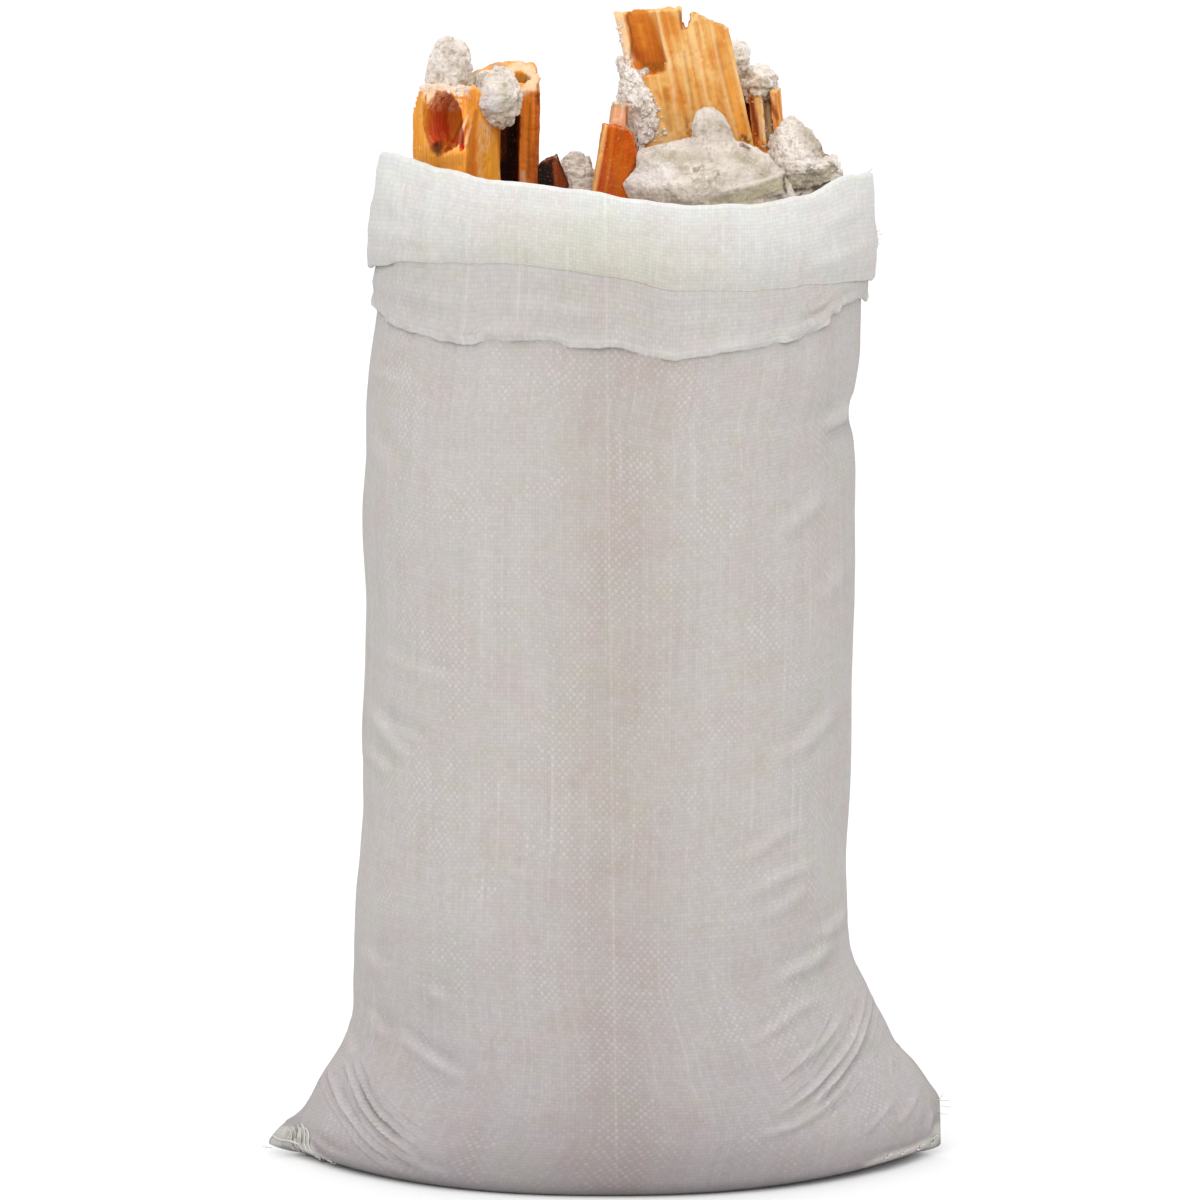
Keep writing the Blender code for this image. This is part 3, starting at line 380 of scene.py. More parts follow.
# What shows on each piece from the front: a shade, how much of it, its route in pixels with its half width
# at each point, how soft its edge is in pixels, how grainy it is from 0 to 1, and how far it stands out
Mark = namedtuple("Mark", "shade share route soft grain rise", defaults=(1.5, 0.0, 0.0))
MARKS = {
    "hollow_brick_front_left": [
        Mark((0.64, 0.26, 0.038), 0.80, [(418, 100, 8), (417, 150, 9), (440, 162, 8), (458, 160, 6)], 4.0),
        Mark((0.76, 0.24, 0.030), 1.00, [
            (446, 93, 19), (444, 108, 20), (443, 124, 18.5), (440, 140, 10.5), (438, 150, 4),
        ]),
        Mark((0.76, 0.120, 0.040), 0.90, [(437, 112, 4), (440, 128, 10), (436, 140, 8)], 4.0),
        Mark(CHAR_AND_SHADE, 0.90, [(437, 148, 6), (439, 153, 3)], 3.0),
        Mark(CHAR_AND_SHADE, 0.55, [
            (425, 97, 1), (424, 124, 1), (430, 146, 1), (438, 155, 1), (450, 148, 1), (463, 120, 1),
        ]),
        Mark(LIME, 0.90, [(424, 85, 5), (445, 86, 6), (466, 87, 5)], 3.0),
        Mark(PEACH, 0.95, [(430, 94, 8), (446, 94, 9), (462, 95, 7)], 4.0, 0.62),
        Mark(PEACH, 0.90, [(434, 106, 6), (456, 104, 6)], 4.0, 0.42),
        Mark(GARNET, 0.85, [(467, 126, 0.8), (464, 136, 1.8), (462, 144, 0.8)], 1.0, 0.0, -0.0006),
        Mark(PEACH, 0.70, [(468, 116, 1.2), (461, 132, 1.3), (459, 148, 1.2)], 1.0, 0.0, 0.0004),
        Mark(PEACH, 0.60, [(471, 126, 1.2), (467, 138, 1.2), (465, 150, 1.2)], 1.0, 0.0, 0.0004),
        # A painted highlight along the edge of the right face
        Mark(OCHRE, 0.60, [(482, 122, 3), (480, 176, 3)], 2.0),
        Mark(RUST, 0.75, [(477, 112, 2), (473, 140, 3.5), (470, 174, 4)], 2.0, 0.0, -0.0006),
        Mark((0.98, 0.43, 0.045), 1.00, [(490, 128, 6), (491, 176, 7)], 4.0),
        Mark(PEACH, 0.75, [(487, 126, 7), (486, 146, 6)], 3.0, 0.45),
        Mark(UMBER, 0.55, [(498, 128, 1.3), (502, 178, 1.3)]),
    ],
    "hollow_brick_back_left": [
        Mark(PEACH, 0.85, [(507, 72, 5), (520, 66, 4), (532, 72, 6), (533, 85, 6), (522, 92, 4)], 2.0),
        # Bright clay in the hole: painted light, so that its shaded inside looks lit orange-brown
        Mark(AMBER, 1.00, [(519, 78, 7.5), (516, 84, 4)]),
        Mark(OLIVE, 0.85, [(474, 70, 6), (475, 82, 5)], 2.0),
        Mark(OLIVE, 0.60, [(484, 64, 3), (503, 66, 3)], 2.0),
        Mark((0.96, 0.28, 0.030), 0.80, [(526, 102, 7), (526, 176, 9)], 3.0),
        Mark(UMBER, 0.70, [(530, 104, 1.2), (528, 178, 1.4)], 1.2, 0.0, -0.0005),
        # Painted shade on the right part of the front face
        Mark(GARNET, 0.40, [(533, 150, 4), (533, 178, 5)], 4.0),
        Mark(CHAR_AND_SHADE, 0.75, [(538, 84, 1.4), (538, 104, 1.2)]),
        Mark(PEACH, 0.90, [(523, 172, 2), (523, 180, 2.5)]),
    ],
    "brick_shard_dark": [
        # Painted shade on the left facet
        Mark(SHADE_BLACK, 1.00, [(543, 170, 7), (546, 182, 8)], 2.0),
        Mark((0.27, 0.062, 0.018), 1.00, [(556, 164, 3), (561, 184, 6)], 2.0),
    ],
    "brick_shard_tilted": [
        Mark(GARNET, 0.55, [(606, 168, 8), (606, 192, 12)], 8.0),
        Mark(RUST, 0.60, [(613, 128, 2), (606, 192, 2)], 2.0),
        Mark(UMBER, 0.45, [(622, 132, 1.5), (617, 192, 1.5)], 1.5),
        # A painted highlight on the lit left edge
        Mark(OCHRE, 0.80, [(605, 126, 2), (600, 155, 2.5), (593, 190, 3)], 2.0),
        # Painted shade on the right side
        Mark(CHAR_AND_SHADE, 0.60, [(638, 158, 1.5), (629, 176, 1.5)]),
    ],
    "brick_nub": [
        # Painted shadow on the top of the nub
        Mark(OLIVE, 0.75, [(611, 104, 2.5), (625, 106, 2.5)], 1.5, 0.7),
        Mark(CHAR_AND_SHADE, 0.80, [(627, 108, 1.5), (627, 124, 1.5)]),
    ],
    "grooved_brick_large": [
        Mark(PEACH, 0.50, [(619, 15, 4), (625, 40, 4), (631, 60, 3)], 2.0),
        Mark(LIME, 0.90, [(615, 22, 2.5), (620, 45, 3.5), (626, 64, 5)], 2.0, 0.62),
        Mark(RUST, 0.95, [(638, 18, 12), (645, 35, 13), (648, 50, 15), (655, 61, 12)], 2.0),
        Mark(AMBER, 0.60, [(640, 26, 2), (645, 46, 2)], 2.0),
        Mark(AMBER, 0.50, [(654, 20, 2), (660, 44, 2)], 2.0),
        Mark(GARNET, 0.55, [(634, 50, 3), (640, 56, 4)], 4.0),
        # Painted shade at the bottom of the broken channel
        Mark(UMBER, 0.80, [(646, 67, 5), (661, 68, 5)], 3.0),
        Mark(CHAR_AND_SHADE, 0.60, [(627, 16, 1), (632, 40, 1.2), (631, 58, 1.5)]),
        # Painted highlights on the rib crests, and painted shade in the grooves beside them
        Mark(CREST_HIGHLIGHT, 0.60, [(657, 12, 2), (663, 40, 2.5), (669, 64, 2.2), (676, 96, 1.5)], 2.5, 0.0, 0.0006),
        Mark(RUST, 0.45, [(669, 14, 4), (677, 34, 3), (682, 60, 1.5)], 3.0, 0.0, -0.0005),
        Mark(CHAR_AND_SHADE, 0.65, [(680, 12, 1.4), (682, 28, 1.4)]),
        Mark(UMBER, 0.40, [(665, 90, 2.5), (669, 130, 3.5)], 2.5, 0.0, -0.0006),
        Mark(CREST_HIGHLIGHT, 0.60, [(672, 92, 1.5), (679, 130, 2)], 2.0, 0.0, 0.0004),
        Mark(CREST_HIGHLIGHT, 0.50, [(681, 54, 1.5), (688, 90, 1.8), (694, 120, 1.5)], 2.5, 0.0, 0.0006),
        Mark(UMBER, 0.50, [(684, 52, 1.2), (691, 90, 1.5), (695, 132, 2)], 1.5, 0.0, -0.0008),
        Mark(CHAR_AND_SHADE, 0.40, [(686, 122, 4), (690, 132, 5)], 3.0, 0.6),
        Mark(CREST_HIGHLIGHT, 0.50, [(692, 34, 1.5), (700, 66, 1.8), (706, 104, 1.5)], 2.5, 0.0, 0.0006),
        Mark(RUST, 0.55, [(696, 24, 3), (703, 62, 1.5), (710, 100, 1.5)], 1.5, 0.0, -0.0008),
        Mark(CREST_HIGHLIGHT, 0.60, [(712, 26, 1.5), (719, 64, 2), (730, 112, 1.8), (736, 136, 1.5)],
             2.5, 0.0, 0.0006),
        Mark(UMBER, 0.45, [(716, 40, 1.2), (723, 72, 1.2), (733, 112, 1.4)], 1.5, 0.0, -0.0008),
        Mark(AMBER, 0.60, [(728, 76, 3), (738, 110, 6), (744, 130, 6)], 3.0),
        Mark(CREST_HIGHLIGHT, 0.60, [(733, 62, 1.4), (746, 104, 1.4), (752, 130, 1.6)], 2.0),
        Mark(CREST_HIGHLIGHT, 0.50, [(690, 50, 7), (702, 62, 8)], 4.0, 0.30),
        Mark(UMBER, 0.50, [(694, 14, 2), (712, 20, 2), (726, 28, 2)], 2.0, 0.6),
        # Painted contact shadow under the brick's corner
        Mark(CHAR_AND_SHADE, 0.85, [(742, 137, 3), (748, 140, 3)], 2.0, 0.7),
    ],
    "hollow_brick_back_right": [
        Mark(OCHRE, 0.85, [(762, 100, 6), (764, 126, 7), (768, 146, 7)], 2.0),
        # Bright clay in the dark gap: painted light, so that it looks like a lit rib
        Mark((1.00, 0.72, 0.34), 1.00, [(766, 102, 3.5), (767, 126, 4.5), (768, 146, 4)], 1.0),
        Mark((0.30, 0.06, 0.018), 1.00, [(751, 99, 2.6), (755, 122, 3), (757, 136, 2)]),
        Mark((0.30, 0.06, 0.018), 0.90, [(769, 98, 1.8), (773, 108, 2.4), (777, 118, 2)]),
        Mark(PEACH, 0.80, [(763, 100, 7), (766, 126, 6), (770, 146, 6)], 3.0, 0.42),
        Mark(RUST, 0.85, [(757, 140, 3), (768, 152, 3)], 2.0, 0.7),
    ],
    "mortar_lump_left_top": [
        Mark(OLIVE, 0.45, [(466, 50, 4), (469, 72, 5), (440, 78, 4)], 4.0, 0.45),
    ],
    "mortar_lump_left_middle": [
        Mark((0.52, 0.51, 0.52), 0.60, [(478, 92, 8), (490, 98, 10), (494, 110, 8)], 6.0),
        Mark(OLIVE, 0.60, [(504, 86, 4), (508, 104, 6), (504, 120, 6)], 5.0),
        Mark(CHAR_AND_SHADE, 0.55, [(497, 122, 4), (508, 126, 4)], 4.0, 0.35),
        Mark(OLIVE, 0.50, [(480, 108, 4), (494, 116, 4)], 4.0, 0.45),
    ],
    "mortar_lump_middle": [
        Mark((0.86, 0.77, 0.66), 0.85, [(560, 174, 8), (574, 178, 10), (582, 188, 7)], 5.0),
        Mark(OLIVE, 0.60, [(568, 162, 8), (582, 160, 7)], 4.0, 0.40),
    ],
    "mortar_bed_on_large_brick": [
        Mark((0.96, 0.90, 0.85), 0.92, [(622, 70, 8), (640, 100, 13), (652, 130, 13)], 4.0),
        Mark(OLIVE, 0.45, [(626, 76, 8), (640, 100, 10), (652, 130, 10)], 4.0, 0.24),
        Mark(CHAR_AND_SHADE, 0.40, [(640, 104, 10), (650, 128, 10)], 4.0, 0.12),
    ],
    "mortar_lump_right_back": [
        Mark(OLIVE, 0.70, [(738, 60, 8), (752, 82, 8), (772, 86, 9)], 4.0, 0.45),
    ],
    "mortar_slab_right": [
        Mark((0.50, 0.42, 0.34), 0.60, [(804, 130, 8), (812, 146, 9), (826, 152, 6)], 6.0),
        Mark(OLIVE, 0.45, [(806, 122, 5), (812, 140, 5), (828, 152, 8)], 5.0, 0.50),
        Mark(CHAR_AND_SHADE, 0.70, [(822, 148, 3), (827, 156, 3)], 2.0, 0.5),
        Mark(OLIVE, 0.75, [(786, 186, 10), (812, 180, 8), (834, 170, 5)], 2.0, 0.0, -0.0010),
        Mark(LIME, 0.90, [(780, 170, 1.6), (804, 166, 2), (838, 156, 2)], 1.5, 0.0, 0.0012),
        # Painted shadow along the slab's lower edge, and painted shade in the gap beside the plaster
        Mark(CHAR_AND_SHADE, 0.75, [(786, 193, 1.2), (810, 189, 1.5), (829, 182, 1.5)], 1.5, 0.8),
        Mark(CHAR_AND_SHADE, 0.80, [(785, 178, 1), (786, 192, 1.4)], 1.0),
    ],
    "plaster_lump_front": [
        Mark((0.80, 0.73, 0.69), 0.85, [(636, 178, 8), (652, 180, 12), (668, 172, 8)], 7.0),
        Mark((0.70, 0.62, 0.56), 0.60, [(726, 166, 8), (750, 174, 9)], 6.0),
        Mark(OLIVE, 0.50, [(670, 158, 4), (688, 158, 5), (704, 160, 4)], 4.0),
        Mark(OLIVE, 0.60, [(688, 168, 8), (702, 180, 12), (718, 176, 10)], 6.0, 0.42),
        Mark(CHAR_AND_SHADE, 0.40, [(696, 170, 12), (716, 174, 12)], 6.0, 0.20),
        Mark((0.66, 0.60, 0.53), 0.60, [(700, 176, 12), (760, 160, 10)], 6.0, 0.30),
        Mark(OLIVE, 0.45, [(728, 148, 6), (766, 168, 8)], 5.0, 0.45),
        Mark(CHAR_AND_SHADE, 0.85, [(641, 159, 1.5), (651, 149, 2), (659, 140, 2.5), (671, 137, 2)], 1.5, 0.65),
        Mark(OLIVE, 0.80, [(712, 201, 3), (744, 197, 7), (774, 187, 8), (783, 183, 7)], 2.0, 0.0, -0.0010),
        Mark((0.66, 0.60, 0.52), 0.80, [(722, 191, 1.6), (758, 183, 1.8), (786, 172, 1.6)],
             1.5, 0.0, 0.0012),
        # Painted contact shadow by the large brick's corner, and painted shade in the gap by the slab
        Mark(CHAR_AND_SHADE, 0.85, [(742, 146, 2.5), (748, 149, 2)], 1.5, 0.7),
        Mark(SHADE_BLACK, 0.80, [(784, 176, 1), (786, 192, 1.5)], 1.0),
    ],
}
# Broken bits all over the heap, hidden by the rim: its half width and depth, their number and radii, how
# high they and the crumbs may lie, and from how high the bits are dropped
HEAP_HALF = (0.160, 0.112)
HEAP_BITS = 420
HEAP_RADII = (0.0022, 0.0085)
HEAP_LIMIT = 0.783
CRUMB_LIMIT = 0.920
DROP_HEIGHT = 1.2
# How far the heap is drawn in from the cloth below its top, as a share, how much more at its foot, and how
# low it reaches
HEAP_GAP = 0.05
HEAP_FOOT_GAP = 0.16
HEAP_LOWEST = 0.010

# Frayed fibres and loose loops of thread: where they start in pixels, and how far they reach in metres
FRAYS = [
    ((876, 236), (0.0045, 0.0000, 0.0016)), ((876, 238), (0.0040, -0.0012, -0.0010)),
    ((876, 234), (0.0034, -0.0008, 0.0036)), ((875, 240), (0.0028, -0.0016, -0.0034)),
    ((934, 1103), (0.0118, -0.0010, 0.0030)), ((935, 1106), (0.0136, 0.0004, -0.0010)),
    ((936, 1109), (0.0098, -0.0012, -0.0052)), ((932, 1101), (0.0100, -0.0018, 0.0058)),
    ((270, 1148), (-0.0052, -0.0014, 0.0016)), ((272, 1148), (-0.0046, -0.0010, 0.0008)),
    ((384, 154), (-0.0030, 0.0000, 0.0030)), ((868, 172), (0.0036, -0.0006, 0.0034)),
]

# Stitches across the hem at the two ears: where each starts and ends in pixels
STITCHES = [
    ((288, 1128), (294, 1149)), ((292, 1126), (300, 1151)), ((297, 1124), (305, 1153)),
    ((302, 1124), (309, 1152)), ((306, 1128), (313, 1153)), ((316, 1156), (325, 1160)),
    ((328, 1160), (337, 1163)), ((884, 1158), (892, 1154)), ((900, 1154), (908, 1150)),
    ((916, 1150), (924, 1144)), ((930, 1144), (938, 1138)),
]
# How far a stitch bends aside in pixels, and how thick and how round the strands are
STITCH_BEND = 1.6
STITCH_RADIUS = 0.0008
FRAY_RADIUS = 0.00028
STRAND_SIDES = 6


# Smooth curves and noise


def cubic(table):
    """A smooth curve through (place, value) pairs, which doesn't overshoot them."""
    x, y = (np.array(values, float) for values in zip(*table))
    step = np.diff(x)
    slope = np.diff(y) / step
    middle = np.where(
        slope[:-1] * slope[1:] > 0,
        2 * slope[:-1] * slope[1:] / np.where(slope[:-1] + slope[1:] == 0, 1, slope[:-1] + slope[1:]),
        0.0,
    )
    tangent = np.concatenate([slope[:1], middle, slope[-1:]])

    def value(places):
        places = np.clip(places, x[0], x[-1])
        i = np.clip(np.searchsorted(x, places, side="right") - 1, 0, len(step) - 1)
        t = (places - x[i]) / step[i]
        rise = 3 * t**2 - 2 * t**3
        start = t**3 - 2 * t**2 + t
        end = t**3 - t**2
        return y[i] * (1 - rise) + y[i + 1] * rise + step[i] * (tangent[i] * start + tangent[i + 1] * end)

    return value


def smooth_step(low, high, value):
    t = np.clip((value - low) / (high - low), 0.0, 1.0)
    return t * t * (3 - 2 * t)


def bell(value):
    """1 at nought, and smoothly down to almost nothing at 2 on either side."""
    return np.exp(-(value**2))


def lattice(cells, seed):
    """A repeatable number from -1 to 1 for each whole-number cell."""
    mask = 0xFFFFFFFF
    mixed = (cells @ np.array((374761393, 668265263, 1274126177)) + seed * 982451653) & mask
    mixed = ((mixed ^ (mixed >> 13)) * 1274126177) & mask
    mixed = mixed ^ (mixed >> 16)
    return mixed / (mask / 2) - 1.0


def noise(points, size, seed):
    """Smooth noise from -1 to 1, which changes over this size."""
    scaled = points / size
    cells = np.floor(scaled).astype(np.int64)
    part = scaled - cells
    part = part**3 * (part * (part * 6 - 15) + 10)
    total = np.zeros(points.shape[:-1])
    for corner in itertools.product((0, 1), repeat=3):
        weight = np.where(np.array(corner, bool), part, 1 - part).prod(-1)
        total += weight * lattice(cells + np.array(corner), seed)
    return total


def rough_noise(points, size, seed, octaves=4, fade=0.55):
    total = np.zeros(points.shape[:-1])
    strength = 1.0
    for octave in range(octaves):
        total += strength * noise(points, size / 2**octave, seed + octave)
        strength *= fade
    return total


def billow(points, size, seed):
    """Rounded lumps with sharp valleys between them, about from -0.6 to 1."""
    coarse = np.abs(noise(points, size, seed)) * 2.6
    return coarse + np.abs(noise(points, size * 0.45, seed + 1)) * 1.2 - 0.9


def unit(vectors):
    return vectors / np.maximum(np.linalg.norm(vectors, axis=-1, keepdims=True), 1e-12)


# The camera's geometry


def photo_place(points):
    """The pixel at which the camera sees each point."""
    from_target = points - VIEW_TARGET
    scale = VIEW_DISTANCE / (VIEW_DISTANCE - from_target @ TO_CAMERA) / PIXEL
    px = PHOTO_SIZE / 2 + from_target[..., 0] * scale
    py = PHOTO_SIZE / 2 - (from_target @ VIEW_UP) * scale
    return px, py


def height_seen(py, y):
    """How high a point at this depth stands where the camera sees it at this pixel row."""
    up = (PHOTO_SIZE / 2 - py) * PIXEL / VIEW_DISTANCE
    sine, cosine = math.sin(VIEW_ELEVATION), math.cos(VIEW_ELEVATION)
    return VIEW_TARGET[2] + (up * (VIEW_DISTANCE + y * cosine) - y * sine) / (cosine + up * sine)


def seen_from(px, py, y):
    """The point at this depth that the camera sees at this pixel."""
    z = height_seen(py, y)
    nearer = y * TO_CAMERA[1] + (z - VIEW_TARGET[2]) * TO_CAMERA[2]
    x = VIEW_TARGET[0] + (px - PHOTO_SIZE / 2) * PIXEL * (VIEW_DISTANCE - nearer) / VIEW_DISTANCE
    return np.array((x, y, z))


def sight_line(px, py):
    """Where the camera stands, and the direction in which it sees this pixel."""
    eye = VIEW_TARGET + TO_CAMERA * VIEW_DISTANCE
    aim = VIEW_TARGET + VIEW_UP * (PHOTO_SIZE / 2 - py) * PIXEL
    aim = aim + np.array(((px - PHOTO_SIZE / 2) * PIXEL, 0.0, 0.0))
    return Vector(eye), Vector(unit(aim - eye))


def make_camera():
    data = bpy.data.cameras.new("camera")
    data.sensor_width = SENSOR_MM
    data.lens = SENSOR_MM * VIEW_DISTANCE / (PHOTO_SIZE * PIXEL)
    data.clip_end = 100.0
    camera = bpy.data.objects.new("camera", data)
    camera.location = VIEW_TARGET + TO_CAMERA * VIEW_DISTANCE
    camera.rotation_euler = (math.pi / 2 - VIEW_ELEVATION, 0.0, 0.0)
    bpy.context.scene.collection.objects.link(camera)
    bpy.context.scene.camera = camera


# Meshes


def mesh_object(name, points, faces, uvs=None):
    """An object from numpy arrays: points, quads or triangles, and a UV for each face corner."""
    faces = np.asarray(faces, np.int32)
    mesh = bpy.data.meshes.new(name)
    mesh.vertices.add(len(points))
    mesh.vertices.foreach_set("co", np.asarray(points, np.float32).ravel())
    mesh.loops.add(faces.size)
    mesh.loops.foreach_set("vertex_index", faces.ravel())
    mesh.polygons.add(len(faces))
    mesh.polygons.foreach_set("loop_start", np.arange(0, faces.size, faces.shape[1], dtype=np.int32))
    mesh.update(calc_edges=True)
    if uvs is not None:
        layer = mesh.uv_layers.new(name="cloth")
        layer.data.foreach_set("uv", np.asarray(uvs, np.float32).ravel())
    mesh.validate()
    obj = bpy.data.objects.new(name, mesh)
    bpy.context.scene.collection.objects.link(obj)
    return obj


def mesh_array(mesh, name):
    """A mesh's points where the name is "co", or its normals where it is "normal"."""
    values = np.empty(len(mesh.vertices) * 3, np.float32)
    mesh.vertices.foreach_get(name, values)
    return values.reshape(-1, 3).astype(float)


def move_points(mesh, points):
    mesh.vertices.foreach_set("co", points.astype(np.float32).ravel())
    mesh.update()


def add_weights(mesh, name, values):
    """Keeps one number for each vertex, which a material can read."""
    layer = mesh.attributes.new(name, "FLOAT", "POINT")
    layer.data.foreach_set("value", np.asarray(values, np.float32))


# The sack


def section(angles, heights, offsets, inset=0.0):
    """Points on the sack's outer section at these angles, moved out by the offsets and in at the floor."""
    left, right = -cubic(LEFT_REACH)(heights), cubic(RIGHT_REACH)(heights)
    core_left, core_right = -cubic(CORE_LEFT)(heights), cubic(CORE_RIGHT)(heights)
    x = (left + right) / 2 + (right - left) / 2 * np.cos(angles)
    across = (x - (core_left + core_right) / 2) / ((core_right - core_left) / 2)
    full = np.maximum(0.0, 1 - np.abs(across) ** cubic(FULLNESS)(heights)) ** cubic(BLUNTNESS)(heights)
    depth = np.where(np.sin(angles) > 0, cubic(BACK_DEPTH)(heights), cubic(FRONT_DEPTH)(heights))
    y = depth * full
    y = y - inset * smooth_step(0.0, 0.05, y)
    from_tip = np.minimum(x - left, right - x)
    y = np.maximum(y, np.minimum(EAR_HALF_THICKNESS, EAR_SLOPE * from_tip))
    y = y * np.sign(np.where(np.abs(np.sin(angles)) > 1e-6, np.sin(angles), 0.0))
    points = np.stack([x, y, heights], axis=-1)
    points[..., 0] += offsets * np.cos(angles)
    points[..., 1] += offsets * np.sin(angles)
    return points


def turn_angles():
    """Angles round the sack, closer together near the corners, where the folds are fine."""
    even = 2 * np.pi * np.arange(COLUMNS) / COLUMNS
    return even - 0.16 * np.sin(2 * even) + 0.06 * np.sin(4 * even)


def edge_heights(angles, pixels, back_table):
    """How high an edge of the turned mouth runs at each angle."""
    shape = section(angles, np.full_like(angles, 0.75), np.full_like(angles, 0.004))
    front = np.zeros_like(angles)
    guess = np.full_like(angles, 0.72)
    for _ in range(3):
        seen = np.stack([shape[:, 0], shape[:, 1], guess], axis=-1)
        px, _ = photo_place(seen)
        front = height_seen(cubic(pixels)(px), shape[:, 1])
        guess = front
    back = cubic(back_table)(shape[:, 0])
    to_back = smooth_step(-0.12, 0.30, np.sin(angles))
    return front * (1 - to_back) + back * to_back


class Rows:
    """The rows of the sack's skin, from the base to the inside: heights, offsets, insets and layer."""

    def __init__(self, angles):
        self.made = []
        self.full = np.ones_like(angles)
        # The bands lie flatter across the front than at the sides
        self.front = smooth_step(0.1, -0.6, np.sin(angles))
        self.snug = 1 - 0.45 * self.front

    def add(self, height, offset, layer, inset=0.0):
        self.made.append((height * self.full, offset * self.full, inset * self.full, layer))

    def add_edge(self, edge, fold, inner, hidden_rows, layer):
        """A band's hidden inner face, from its top down, and then its rounded edge."""
        for height in hidden_rows:
            self.add(height, inner, "tuck")
        for turn in np.linspace(math.pi, 2 * math.pi, 7):
            self.add(edge + fold + fold * math.sin(turn), inner + fold + fold * math.cos(turn), layer)

    def add_wall(self, lower):
        """The rounded edge at the floor, then the wall, with its rows closer together near the floor."""
        for turn in np.linspace(0.0, math.pi / 2, 10):
            self.add(BASE_EDGE * (1 - math.cos(turn)), 0.0, "base", BASE_EDGE * (1 - math.sin(turn)))
        top = lower + LOWER_TUCK
        for t in np.linspace(0.0, 1.0, WALL_ROWS)[1:]:
            self.add(BASE_EDGE + (top - BASE_EDGE) * (0.4 * t + 0.6 * t**2), 0.0, "wall")

    def add_lower_band(self, lower, upper):
        """The lower band, puffed just above its edge."""
        fold = 0.0026 * (0.62 - 0.27 * self.front)
        inner = 0.0012 * (1 - 0.9 * self.front)
        hidden_rows = lower + LOWER_TUCK - 0.002, lower + LOWER_TUCK / 2, lower + fold * 1.4
        self.add_edge(lower, fold, inner, hidden_rows, "lower_band")
        bottom, top = lower + fold, upper + UPPER_TUCK
        for t in np.linspace(0.0, 1.0, 19)[1:]:
            swell = 0.0014 * math.sin(math.pi * min(1.0, t * 1.15)) * self.snug
            swell = swell - 0.0022 * t**3 * (1 - self.front) + 0.0010 * t**4 * self.front
            puff = 0.0022 * bell((t - 0.09) / 0.07) - 0.0008 * bell((t - 0.28) / 0.08)
            puff = puff * (0.3 + 0.7 * self.front)
            self.add(bottom + (top - bottom) * t, inner + 2 * fold + swell + puff, "lower_band")

    def add_upper_band(self, upper, rim):
        """The upper band, nearly flush across the front and swelling above its edge, then over the rim."""
        fold = 0.0030 * (1 - 0.80 * self.front)
        inner = 0.0050 * (1 - 0.62 * self.front)
        hidden_rows = upper + UPPER_TUCK - 0.002, upper + fold * 1.4
        self.add_edge(upper, fold, inner, hidden_rows, "upper_band")
        bottom, top = upper + fold, rim - RIM_LIP
        thinning, regained = 0.0045 * self.snug, 0.0026 * self.front
        for t in np.linspace(0.0, 1.0, 22)[1:]:
            swell = 0.0012 * math.sin(math.pi * min(1.0, t * 1.3)) - thinning * t**2
            swell = swell + regained * smooth_step(0.0, 0.35, t)
            self.add(bottom + (top - bottom) * t, inner + 2 * fold + swell, "upper_band")
        out = inner + 2 * fold - thinning + regained
        for turn in np.linspace(0.0, math.pi, 8)[1:]:
            across = (out - WALL) / 2 + (out + WALL) / 2 * math.cos(turn)
            self.add(top + RIM_LIP * math.sin(turn), across, "rim")

    def add_inside(self, rim):
        for drop in (0.008, 0.014, 0.022, 0.032, 0.044, 0.058, 0.076):
            self.add(rim - RIM_LIP - drop, -WALL, "inside")
        for height in (0.66, 0.50, 0.32, 0.24, 0.18, 0.14, 0.11, 0.08, 0.05, 0.02):
            self.add(height, -WALL - (0.005 if height > 0.6 else 0.012), "inside")


def mouth_edges(angles):
    """How high the lower band's edge, the upper band's edge and the rim run, each a little uneven."""
    wobble = np.stack([np.cos(angles) * 0.2, np.sin(angles) * 0.15, np.zeros_like(angles)], axis=-1)
    lower = edge_heights(angles, LOWER_EDGE_PIXELS, LOWER_EDGE_BACK)
    upper = edge_heights(angles, UPPER_EDGE_PIXELS, UPPER_EDGE_BACK)
    rim = edge_heights(angles, RIM_PIXELS, RIM_BACK)
    lower = lower + 0.0017 * rough_noise(wobble, 0.018, 9, 4)
    upper = upper + 0.0009 * rough_noise(wobble, 0.025, 7, 3)
    rim = rim + 0.0012 * rough_noise(wobble, 0.03, 5, 3)
    return lower, upper, rim


def sack_rows(angles, lower, upper, rim):
    rows = Rows(angles)
    rows.add_wall(lower)
    rows.add_lower_band(lower, upper)
    rows.add_upper_band(upper, rim)
    rows.add_inside(rim)
    return rows.made


def from_line(px, py, route):
    """For each pixel, how far it lies from a route, and how far along it from 0 to 1."""
    route = np.array(route, float)
    lengths = np.linalg.norm(np.diff(route, axis=0), axis=1)
    starts = np.concatenate([[0.0], np.cumsum(lengths)])
    nearest = np.full(px.shape, np.inf)
    side = np.zeros(px.shape)
    along = np.zeros(px.shape)
    for i, length in enumerate(lengths):
        direction = (route[i + 1] - route[i]) / length
        dx, dy = px - route[i, 0], py - route[i, 1]
        t = np.clip(dx * direction[0] + dy * direction[1], 0, length)
        distance = np.hypot(dx - t * direction[0], dy - t * direction[1])
        closer = distance < nearest
        nearest = np.where(closer, distance, nearest)
        side = np.where(closer, np.sign(dx * direction[1] - dy * direction[0]), side)
        along = np.where(closer, (starts[i] + t) / starts[-1], along)
    return nearest * side, along


